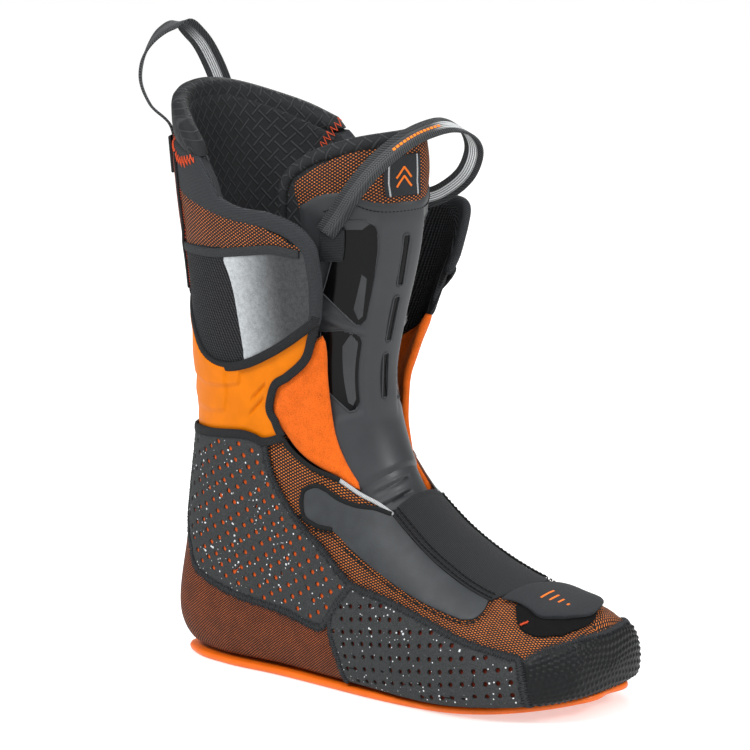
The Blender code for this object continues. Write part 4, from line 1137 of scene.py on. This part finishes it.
def build_ankle():
    top = [(294, 60), (296, 77), (301, 99), (308, 114), (319, 130), (335, 146), (343, 162), (346, 180)]
    lines = rounded([top[::-1], [top[0], *SHELL_FRONT[1:]], ANKLE_SEAM])
    names = (ANKLE, "moulded_shell", "ankle_shell")
    layer("ankle_shell_moulding", BOOT, lines, LOOK_SHELL, (-0.7, 1.6, 1.4, 0.5), *names, relief=shell_relief)
    seam = [(station - 1.2, angle) for station, angle in ANKLE_SEAM]
    band = trim_arrays(BOOT, seam + round_back(seam)[1:], 0.5, 4.6, 1.7, power=3, sides=14)
    strands("ankle_band_tape", [band], LOOK_TAPE, ANKLE, "binding", "ankle_band")
    for side, sign in SIDES:
        line = turned([SHELL_FRONT], sign)[0]
        edge = trim_arrays(BOOT, line, 0.2, 4.8, 2.0, pitch=1.2, power=2.6, sides=14)
        strands(f"{side}_ankle_edge", [edge], LOOK_TAPE, ANKLE, "binding", f"{side}_ankle_binding")


def build_velour():
    """The ankle's orange cushions; the medial one stands further forward."""
    padded = lambda spots, edge: 0.9 * (1 - np.exp(-edge / 5)) + 0.35 * ripple(spots, 26, 11) - 0.4
    for side, sign in SIDES:
        if sign > 0:
            top = [(272, 84), (277, 76), (271, 64), (271, 54)]
            front = [top[-1], (259, 51), (240, 48), (222, 46), (205, 45), (190, 43), (176, 40)]
        else:
            top = [(273, 84), (278, 78), (274, 67), (265, 53), (256, 42)]
            front = [top[-1], (248, 40), (238, 40), (222, 42), (205, 43), (190, 42), (162, 34)]
        foot = [front[-1], (188, 46), (205, 55), (222, 62), (244, 70.5), (262, 83)]
        lines = turned([front, foot, [foot[-1], *top]], sign)
        names = (ANKLE, "velour", f"{side}_velour_pad")
        reliefs = {"relief": padded, "back_relief": padded}
        layer(f"{side}_velour_cushion", BOOT, lines, LOOK_VELOUR, (-1.2, 4.0, 1.8, 2.0), *names, **reliefs)


# ---------------------------------------------------------------- collar and flaps


def build_collar():
    """The cuff's ribbed sides, padded rim, embossed lining and the spine at the back."""
    for side, sign in SIDES:
        front = [(299, 99), (330, 104), (357, 110)]
        top = [(357, 110), (360, 124), (361, 138), (360, 152)]
        low = [(338, 152), (331, 145), (317, 131), (308, 118), (299, 99)]
        lines = turned([front, top, [(360, 152), (338, 152)], low], sign)
        names = ("cuff", "ribbed_cloth", f"{side}_ribbed_panel")
        cloth = {"relief": soft(0.8), "place": leg_place}
        layer(f"{side}_ribbed_cloth", BOOT, lines, LOOK_RIBBED, (0.5, 1.2, 2.2, 0.4), *names, **cloth)
        seam = opened([[(393, 120 if sign > 0 else 127), (391, 131), (394, 140), (397, 150)]], sign)[0]
        rows = [zigzag(seam, 1.5, 4.6, 3.6, 0.55, 6, wander=0.15, seed=k) for k in (1, 2)]
        if sign < 0:
            inner = [(399, -106), (393, -111), (387, -116)]
            rows += [zigzag(inner, -9.9, 4.6, 3.6, 0.5, 6, -0.3, 0.15, k) for k in (3, 4)]
        strands(f"{side}_collar_zigzag", rows, LOOK_RED_THREAD, "cuff", "binding")

    rim = [(395, 122), (402, 129), (408, 139), (412, 152), (415, 180)]
    rim += [(412, 208), (408, 223), (403, 237), (396, 250)]
    foot = [(396, 250), (398, 237), (401, 223), (402, 208), (402, 180), (402, 152), (400, 137), (395, 122)]
    padded = rumpled(0.5, 6, 0.25, 30, 13)
    names = ("cuff", "lining", "cuff_foam")
    layer("collar_top_wrap", BOOT, [rim, foot], LOOK_EMBOSSED, (0.5, 9.4, 2.4, 4.7), *names, relief=padded)
    lines = [
        [(303, 116), (306, 148), (307, 180), (306, 212), (303, 244)],
        [(303, 244), (350, 245), (375, 250), (392, 249)],
        [(392, 249), (400, 234), (407, 214), (411, 180), (407, 146), (399, 130), (391, 121)],
        [(391, 121), (375, 117), (350, 117), (303, 116)],
    ]
    names = ("cuff", "lining", "collar_lining")
    inside_out = {"relief": padded, "inward": True, "place": leg_place}
    layer("collar_lining_cloth", BOOT, lines, LOOK_EMBOSSED, (9.2, 3.0, 2.6, 1.4), *names, **inside_out)

    edge = [(343, 152), (357, 149), (363, 141), (380, 139), (394, 139)]
    tip = [(394, 139), (399, 152), (400, 180), (399, 208), (394, 221)]
    lines = [[(343, 208), (343, 180), (343, 152)], edge, tip, round_back(edge)]
    names = ("cuff", "red_net", "rear_net_panel")
    layer("rear_spine_net", BOOT, lines, LOOK_RED_NET, (1.7, 2.6, 2.4, 1.3), *names, **cloth)
    lines = [
        [(341, 203), (341, 180), (341, 157)],
        [(341, 157), (364, 155)],
        [(364, 155), (362, 180), (364, 205)],
        [(364, 205), (341, 203)],
    ]
    sheet = (2.7, 2.0, 2.4, 1.0)
    layer("rear_spine_pad", BOOT, lines, LOOK_TAPE, sheet, "cuff", "binding", relief=soft(0.8))
    edges = [trim_arrays(BOOT, line, 1.6, 2.6, 1.6, pitch=1) for line in (edge, round_back(edge))]
    strands("rear_spine_edges", edges, LOOK_TAPE, "cuff", "binding")
    anchor = straight((386, 208), (386, 152), (399, 152), (399, 208))
    sheet = (4.0, 1.4, 2.4, 0.6)
    layer("rear_loop_tape", BOOT, anchor, LOOK_ANCHOR, sheet, "cuff", "binding", "rear_loop_anchor")


def build_flap(side, sign):
    """A front flap: ribbed pad inside, net and printed cloth outside, padded knit rim."""
    bend = flap_bend(side)

    def cloth(name, lines, look, sheet, slot, *nodes, **reliefs):
        lines = opened(lines, sign)
        layer(f"{side}_{name}", BOOT, lines, look, sheet, bend, slot, *nodes, place=leg_place, **reliefs)

    rim = [(288, 59.5), (306, 61.5), (323, 64.5), (340, 68.5), (353, 76.5), (362, 88)]
    rim += [(367.5, 101), (374, 111)]
    low = [(383, 149), (379, 133), (371.5, 115), (365, 102), (359, 90), (350.5, 79), (338.5, 71)]
    low += [(323, 66.8), (306, 63.8), (290, 62)]
    ends = [(374, 111), (384, 116), (392, 121)], [(392, 121), (394, 131), (397, 149)]
    lines = [rim, *ends, [(397, 149), (383, 149)], low, [(290, 62), (288, 59.5)]]
    swell = lambda spots, edge: 3.6 * ease(spots[:, 0], 366, 384)
    reliefs = {"relief": rumpled(0.4, 6, 0.25, 30, 13), "back_relief": swell}
    node = f"{side}_flap_binding"
    cloth("collar_roll", lines, LOOK_GREY_KNIT, (0.8, 5.4, 1.6, 2.7), "grey_binding", node, **reliefs)

    front = [(290, 61), (306, 63), (323, 67), (339, 71), (352, 79), (360, 90), (366, 102), (370, 116)]
    if sign > 0:
        foot = [(303, 116), (299, 99), (294, 80), (284, 66), (273, 63), (273, 59)]
    else:
        foot = [(303, 116), (297, 99), (289, 88), (284, 80), (277, 74), (268, 66), (259, 55)]
    lines = [foot[-1:] + front, [(370, 116), (330, 116), (303, 116)], foot]
    stuffed = rumpled(0.5, 5, 0.3, 30, 17)
    reliefs = {"relief": stuffed, "back_relief": stuffed}
    cloth("flap_padding", lines, LOOK_RIBBED, (-1.4, 4.6, 2.2, 2.3), "lining", f"{side}_flap_pad", **reliefs)

    band = [(352, 116), (350, 103), (345, 86), (337, 71)]
    low = [(337, 71), (323, 67.5), (306, 64.5), (292, 63)]
    foot = [(292, 63), (294, 77), (298, 92), (301, 102)]
    lines = [band, low, foot, [(301, 102), (326, 109), (352, 116)]]
    flat = rumpled(0.5, 5, 0.15, 36, 19)
    node = f"{side}_flap_panel"
    cloth("flap_print", lines, LOOK_SILVER, (0.3, 1.0, 2.0, 0.3), "silver_print", node, relief=flat)
    lines = [
        [(383, 142), (380, 133), (372, 115), (364, 101), (356, 89), (346, 79)],
        [(346, 79), (338, 71)],
        [(338, 71), (345, 86), (350, 103), (353, 120), (357, 142)],
        [(357, 142), (383, 142)],
    ]
    node = f"{side}_flap_net"
    cloth("flap_net_cloth", lines, LOOK_FLAP_NET, (0.3, 1.2, 1.8, 0.4), "net", node, relief=flat)

    band = [(359, 151), (356, 132), (352, 116), (349, 102), (344, 85), (337, 73)]
    foot = [(289, 60), (292, 77), (298, 99), (305, 114), (316, 130), (332, 146), (340, 157)]
    band, foot = opened([band, foot], sign)
    tape = trim_arrays(BOOT, band, 0.8, 5.0, 1.6, power=3, sides=14)
    strands(f"{side}_flap_band", [tape], LOOK_SPECKLED, bend, "binding")
    tape = trim_arrays(BOOT, foot, 0.7, 5.0, 2.2, power=2.6, sides=14)
    strands(f"{side}_flap_foot_tape", [tape], LOOK_TAPE, bend, "binding")


# ---------------------------------------------------------------- tongue

WINDOWS = {
    "upper": [(206, 0.52), (206, 0.32), (203, 0.26), (197, 0.235)]
    + [(154, 0.25), (151, 0.29), (151, 0.33), (169, 0.63)],
    "lower": [(149, 0.62), (149, 0.36), (146, 0.30), (141, 0.26)]
    + [(108, 0.28), (104, 0.33), (104, 0.40), (121, 0.64)],
}
# Strips along each window's edge nearest the middle line, coloured lighter than the window: painted highlight
# for the window's reflection
WINDOW_HIGHLIGHTS = {
    "upper": [(176, 0.30), (156, 0.28), (154, 0.31), (160, 0.36), (178, 0.34)],
    "lower": [(146, 0.36), (141, 0.29), (110, 0.31), (107, 0.35), (109, 0.39), (140, 0.42)],
}
SLOTS = ((171, 198), (139.5, 166), (106.5, 133.5))  # heights
SLOT_RADIUS = 1.7
TONGUE_REACH = 52  # mm over the tongue from its middle line to an edge
SHELL_TOP = [(214, -0.80), (221, -0.62), (222, -0.43), (217, -0.30), (215, -0.17), (215, 0)]


def plate_height(spots):
    """The shell's raised middle plate, the sunk fields beside it and the slots."""
    height, away = spots[:, 0], np.abs(spots[:, 1])
    plate = 1.2 * (1 - ease(away, 0.19, 0.23)) * ease(height, 92, 108) * (1 - ease(height, 203, 213))
    bar = 150 + 28 * (away - 0.36)
    field = ease(away, 0.21, 0.26) * (1 - ease(away, 0.62, 0.68)) * ease(height, 99, 106)
    field = field * (1 - ease(height, 200, 207)) * ease(np.abs(height - bar), 1.2, 3.2)
    sunk = 1 - ease(TONGUE_REACH * away, 1.2, 2.2)
    slot = sum(ease(height, low, low + 2) * (1 - ease(height, high - 2, high)) for low, high in SLOTS)
    return plate - 1.1 * field - 0.9 * sunk * slot


def shell_height(spots, edge):
    return plate_height(spots) + 0.12 * ripple(spots * (1, 60), 60, 23) - 0.9 * (1 - ease(edge, 0, 3))


def crease_relief(spots, edge):
    """Sideways creases where the tongue's throat folds."""
    height, side = spots.T
    fold = np.zeros(len(spots))
    for at, start, end in ((60, -0.2, 0.45), (53, -0.1, 0.55), (47, 0.0, 0.5), (41, 0.1, 0.4)):
        line = at + 5 * (side - 0.2) ** 2
        share = ease(side, start, start + 0.15) * (1 - ease(side, end - 0.1, end + 0.1))
        gap = (height - line) / 0.9
        fold += share * (0.5 * np.exp(-((gap - 1.8) ** 2)) - 1.3 * np.exp(-(gap**2)))
    return fold


def window_dish(spots, edge):
    """A floor that slopes down away from the tongue's middle line."""
    away = np.abs(spots[:, 1])
    return -1.5 * np.clip((away - 0.26) / 0.16, 0, 1) * ease(spots[:, 0], 100, 108)


def both(line):
    """A line from the left edge to the middle line, carried on to the right edge."""
    return line + [(height, -side) for height, side in reversed(line[:-1])]


def other(line):
    """A line of the tongue's right side on its left, the other way round."""
    return turned([line[::-1]], -1)[0]


def tongue_outline(edge, top):
    """Up the left edge, over the top, down the right edge and back across."""
    low, side = edge[-1]
    return [other(edge), both(top), edge, [(low, side), (low, 0), (low, -side)]]


def stretch(low, high, side):
    """The outline of a stretch of the tongue between two heights."""
    return [
        [(low, -side), (low, 0), (low, side)],
        [(low, side), (high, side)],
        [(high, side), (high, 0), (high, -side)],
        [(high, -side), (low, -side)],
    ]


def stadium(low, high):
    """Coordinates round a long slot up the middle line."""
    turn = np.linspace(0, 2 * math.pi, 29)[:-1]
    end = np.where(np.sin(turn) > 0, high - SLOT_RADIUS, low + SLOT_RADIUS)
    return np.column_stack([end + SLOT_RADIUS * np.sin(turn), SLOT_RADIUS / TONGUE_REACH * np.cos(turn)])


def frame_arrays(spots, lift, width, height):
    """A closed rim round an opening in the shell."""
    here = TONGUE.lift(spots, lift + plate_height(spots))
    return tube_arrays(here, TONGUE.basis(spots)[3], width, height, closed=True)


def build_tongue():
    root, fold = (-1.6, 2.6, 3.5, 0.8), (-0.5, 2.6, 1.1, 0.8)
    layer("tongue_root", TONGUE, stretch(3, 46, 0.94), LOOK_LINING, root, "foot", "foam", "tongue_base")
    names = (THROAT_BEND, "tongue_rubber", "tongue_throat")
    lines = stretch(26, 74, 0.93)
    layer("tongue_throat_fold", TONGUE, lines, LOOK_RUBBER, fold, *names, relief=crease_relief)

    lines = tongue_outline([(214, 0.80), (190, 0.79), (150, 0.81), (110, 0.84), (66, 0.88)], SHELL_TOP)
    names = (TONGUE_BEND, "tongue_rubber", "tongue_shell")
    sheet = (0.4, 2.0, 1.25, 0.5)
    layer("tongue_shell_moulding", TONGUE, lines, LOOK_RUBBER, sheet, *names, relief=shell_height)
    rims, floors = [], []
    glass = {"relief": window_dish}
    for side, sign in SIDES:
        for name, outline in WINDOWS.items():
            title = f"{side}_{name}_window"
            lines = turned(straight(*outline), sign)
            rims.append(frame_arrays(TONGUE.loop(lines, 1.2), 0.3, 1.1, 1.3))
            names = (TONGUE_BEND, "window", title)
            layer(f"{title}_gloss", TONGUE, lines, LOOK_WINDOW, (0.2, 0.8, 1.6, 0.2), *names, **glass)
            # A lighter strip over each window: painted highlight standing in for its reflection
            lines = turned(straight(*WINDOW_HIGHLIGHTS[name]), sign)
            sheet = (0.35, 0.8, 1.2, 0.2)
            layer(f"{title}_facet", TONGUE, lines, LOOK_WINDOW_HIGHLIGHT, sheet, *names[:2], **glass)
    for low, high in SLOTS:
        rims.append(frame_arrays(stadium(low, high), 0.6, 0.8, 1.1))
        middle = [(low + 1, 0), (high - 1, 0)]
        width = 2 * SLOT_RADIUS - 0.6
        floors.append(trim_arrays(TONGUE, middle, 0.9, width, 0.4, pitch=1, power=4))
    strands("tongue_frames", rims, LOOK_RUBBER, TONGUE_BEND, "tongue_rubber")
    strands("tongue_slots", floors, LOOK_WINDOW, TONGUE_BEND, "window")

    edge = [(242, 0.72), (228, 0.88), (213, 0.94), (180, 0.95), (130, 0.95), (75, 0.94)]
    lines = tongue_outline(edge, [(242, -0.72), (246, -0.5), (247, 0)])
    names = (TONGUE_BEND, "lining", "tongue_pad")
    sheet = (-1.6, 4.6, 2.4, 2.3)
    layer("tongue_padding", TONGUE, lines, LOOK_EMBOSSED, sheet, *names, relief=soft(0.4))
    low = both([(212, -0.80), (219, -0.60), (218, -0.42), (213, -0.30), (211, -0.17), (211, 0)])
    edge = [(212, 0.80), (229, 0.80), (240, 0.62)]
    lines = [low, edge, both([(240, -0.62), (244, -0.5), (246, 0)])[::-1], other(edge)]
    names = ("tongue", "net", "tongue_net")
    sheet = (-0.2, 1.2, 1.6, 0.3)
    layer("tongue_top_net", TONGUE, lines, LOOK_FLAP_NET, sheet, *names, relief=soft(0.5))
    seam = both([(211, -0.6), (215, -0.42), (211, -0.28), (209.5, 0)])
    stitches = stitch_arrays(TONGUE, seam, 0.8, 2.0, 1.3, 0.25)
    strands("tongue_shell_stitching", stitches, LOOK_THREAD, "tongue", "tongue_rubber")

    rim = [(196, -0.965), (213, -0.955), (227, -0.915), (238, -0.85), (246, -0.72), (249.5, -0.5), (250, 0)]
    spots = TONGUE.curve(both(rim), 1.2)
    here, normal = TONGUE.lift(spots, -2.0), TONGUE.basis(spots)[3]
    grow = np.sin(np.linspace(0, math.pi, len(spots)))
    roll = tube_arrays(here, normal, 4.6 + 3.6 * grow, 4.4 + 2.6 * grow, sides=18)
    strands("tongue_rim_roll", [roll], LOOK_EMBOSSED, "tongue", "lining", "tongue_rim")
    build_label()
    for side, sign in SIDES:
        lines = turned(straight((201, 0.48), (201, 0.64), (186, 0.66), (186, 0.50)), sign)
        nodes = ("tongue_strap_anchor",) if sign > 0 else ()
        sheet = (1.6, 1.4, 2.0, 0.6)
        layer(f"{side}_strap_tape", TONGUE, lines, LOOK_ANCHOR, sheet, "tongue", "binding", *nodes)


def build_label():
    """The cloth label on the tongue's net, with a plain chevron mark."""
    lines = straight((218, -0.15), (240, -0.15), (240, 0.15), (218, 0.15))
    names = ("tongue", "label_cloth")
    layer("tongue_label_cloth", TONGUE, lines, LOOK_LABEL, (0.9, 1.0, 1.6, 0.3), *names, "tongue_label")
    edges, marks = [], []
    for side in (-0.118, 0.118):
        edges.append(trim_arrays(TONGUE, [(218, side), (240, side)], 1.0, 0.9, 0.35, pitch=1))
    for low in (223, 228):
        for side in (-0.06, 0.06):
            marks.append(trim_arrays(TONGUE, [(low, side), (low + 6, 0)], 1.05, 1.1, 0.35, pitch=1))
    strands("tongue_label_lines", edges, LOOK_PIPING, *names)
    strands("tongue_label_mark", marks, LOOK_MARK, *names)


def pull_loop(name, path, width, lean, look, body, node):
    """A flat webbing band along a smooth line, its width as near the lean direction as fits."""
    knots = np.r_[0, np.cumsum(np.linalg.norm(np.diff(path, axis=0), axis=1))]
    path = smooth_table(np.column_stack([knots, path]), np.linspace(0, knots[-1], 110))
    ahead = unit(np.gradient(path, axis=0))
    start, end = np.array(lean, float)
    share = ease(np.linspace(0, 1, len(path)), 0.3, 0.62)[:, None]
    across = np.cross(ahead, np.cross(start * (1 - share) + end * share, ahead))
    band = tube_arrays(path, np.cross(ahead, across), width, 1.5, power=6, sides=16)
    strands(name, [band], look, body, "webbing", node)


def build_loops():
    start = TONGUE.lift([(200, 0.60), (205, 0.545), (210, 0.49)], [2.2, 2.8, 3.6])
    end = TONGUE.lift([(205, -0.76), (200, -0.82), (194, -0.88)], [3, 2, 1.6])
    path = [*start, (60, -36, 264), (73.5, -33, 280), (82, -22, 291), (86, -4, 297), (89, 12, 298)]
    path += [(90, 27, 292), (86, 38, 281), (78, 41, 268), (64, 39, 257), *end]
    lean = [(0.72, 0.44, -0.55)] * 2
    pull_loop("tongue_webbing_loop", path, 11.0, lean, LOOK_TONGUE_LOOP, "tongue_loop", "tongue_pull_loop")
    start = BOOT.lift([(396, 160), (399, 160), (402, 160)], [2.8, 3.2, 4.2])
    end = BOOT.lift([(402, 203), (399, 202), (396, 201)], [4.2, 3.2, 2.8])
    path = [*start, (-84, -24, 302), (-91, -23, 314), (-94, -15, 328), (-89, -5, 340), (-84, 4, 343)]
    path += [(-81, 12, 336), (-80, 24, 320), (-78, 29, 306), *end]
    lean = [(0.6, -0.77, 0.2), (0.8, 0.6, 0)]
    pull_loop("rear_webbing_loop", path, 12.0, lean, LOOK_REAR_LOOP, "rear_loop", "rear_pull_loop")


# ---------------------------------------------------------------- light and camera

TARGET = Vector((0.06465, 0, 0.15413))
CAMERA_TURN, CAMERA_RISE, CAMERA_ROLL = (math.radians(a) for a in (38.29, 11.44, -1.38))
CAMERA_DISTANCE, CAMERA_LENS = 2.2, 200.6
LOOK_ASIDE, LOOK_UP = -0.0147, 0.011


def add_light(name, kind, energy, towards, **settings):
    """A light on the scene that shines from the direction given, seen from the boot's middle."""
    data = bpy.data.lights.new(name, kind)
    data.energy = energy
    for setting, value in settings.items():
        setattr(data, setting, value)
    light = bpy.data.objects.new(name, data)
    light.location = TARGET + Vector(towards)
    light.rotation_euler = Vector(towards).to_track_quat("Z", "Y").to_euler()
    bpy.context.scene.collection.objects.link(light)


def build_stage():
    scene = bpy.context.scene
    bpy.ops.mesh.primitive_plane_add(size=80, location=(0, 0, -0.0002))
    floor = bpy.context.object
    floor.name = "floor"
    white = Graph("floor_paper", Roughness=0.6, Emission_Color=(1.0, 1.0, 1.0), Emission_Strength=0.48)
    white.colour(white.mix(white.noise(40), (0.6, 0.6, 0.6), (0.63, 0.63, 0.63)))
    floor.data.materials.append(white.material)
    world = bpy.data.worlds.new("studio")
    world.use_nodes = True
    nodes, links = world.node_tree.nodes, world.node_tree.links
    nodes["Background"].inputs["Color"].default_value = (1, 1, 1, 1)
    seen = nodes.new("ShaderNodeLightPath")
    strength = nodes.new("ShaderNodeMapRange")
    strength.inputs["To Min"].default_value, strength.inputs["To Max"].default_value = 0.38, 1.0
    links.new(seen.outputs["Is Camera Ray"], strength.inputs["Value"])
    links.new(strength.outputs[0], nodes["Background"].inputs["Strength"])
    scene.world = world
    add_light("overhead", "SUN", 1.7, (0.35, -0.5, 1), angle=math.radians(70))
    for name, place, size, power in (
        ("key", (-0.3, -1.2, 1.2), 0.6, 20),
        ("side", (1.5, 0.2, 0.9), 0.5, 14),
        ("back", (-0.6, 1.2, 1.0), 0.8, 14),
    ):
        add_light(name, "AREA", power, place, shape="DISK", size=size)
    scene.view_settings.view_transform = "Standard"

    aside, ahead = math.cos(CAMERA_TURN), math.sin(CAMERA_TURN)
    flat = math.cos(CAMERA_RISE)
    back = Vector((ahead * flat, -aside * flat, math.sin(CAMERA_RISE)))
    level = Vector((aside, ahead, 0))
    right = level * math.cos(CAMERA_ROLL) + back.cross(level) * math.sin(CAMERA_ROLL)
    up = back.cross(right)
    data = bpy.data.cameras.new("camera")
    data.lens, data.sensor_width, data.clip_end = CAMERA_LENS, 36, 20
    camera = bpy.data.objects.new("camera", data)
    axes = Matrix((right, up, back)).transposed().to_4x4()
    axes.translation = TARGET + LOOK_ASIDE * right + LOOK_UP * up + CAMERA_DISTANCE * back
    camera.matrix_world = axes
    scene.collection.objects.link(camera)
    scene.camera = camera


build_sole()
build_sock()
build_panels()
build_toe()
build_tab()
build_instep()
build_throat()
build_ankle()
build_velour()
build_collar()
for flap_side, flap_sign in SIDES:
    build_flap(flap_side, flap_sign)
build_tongue()
build_loops()
build_stage()
bpy.context.view_layer.update()
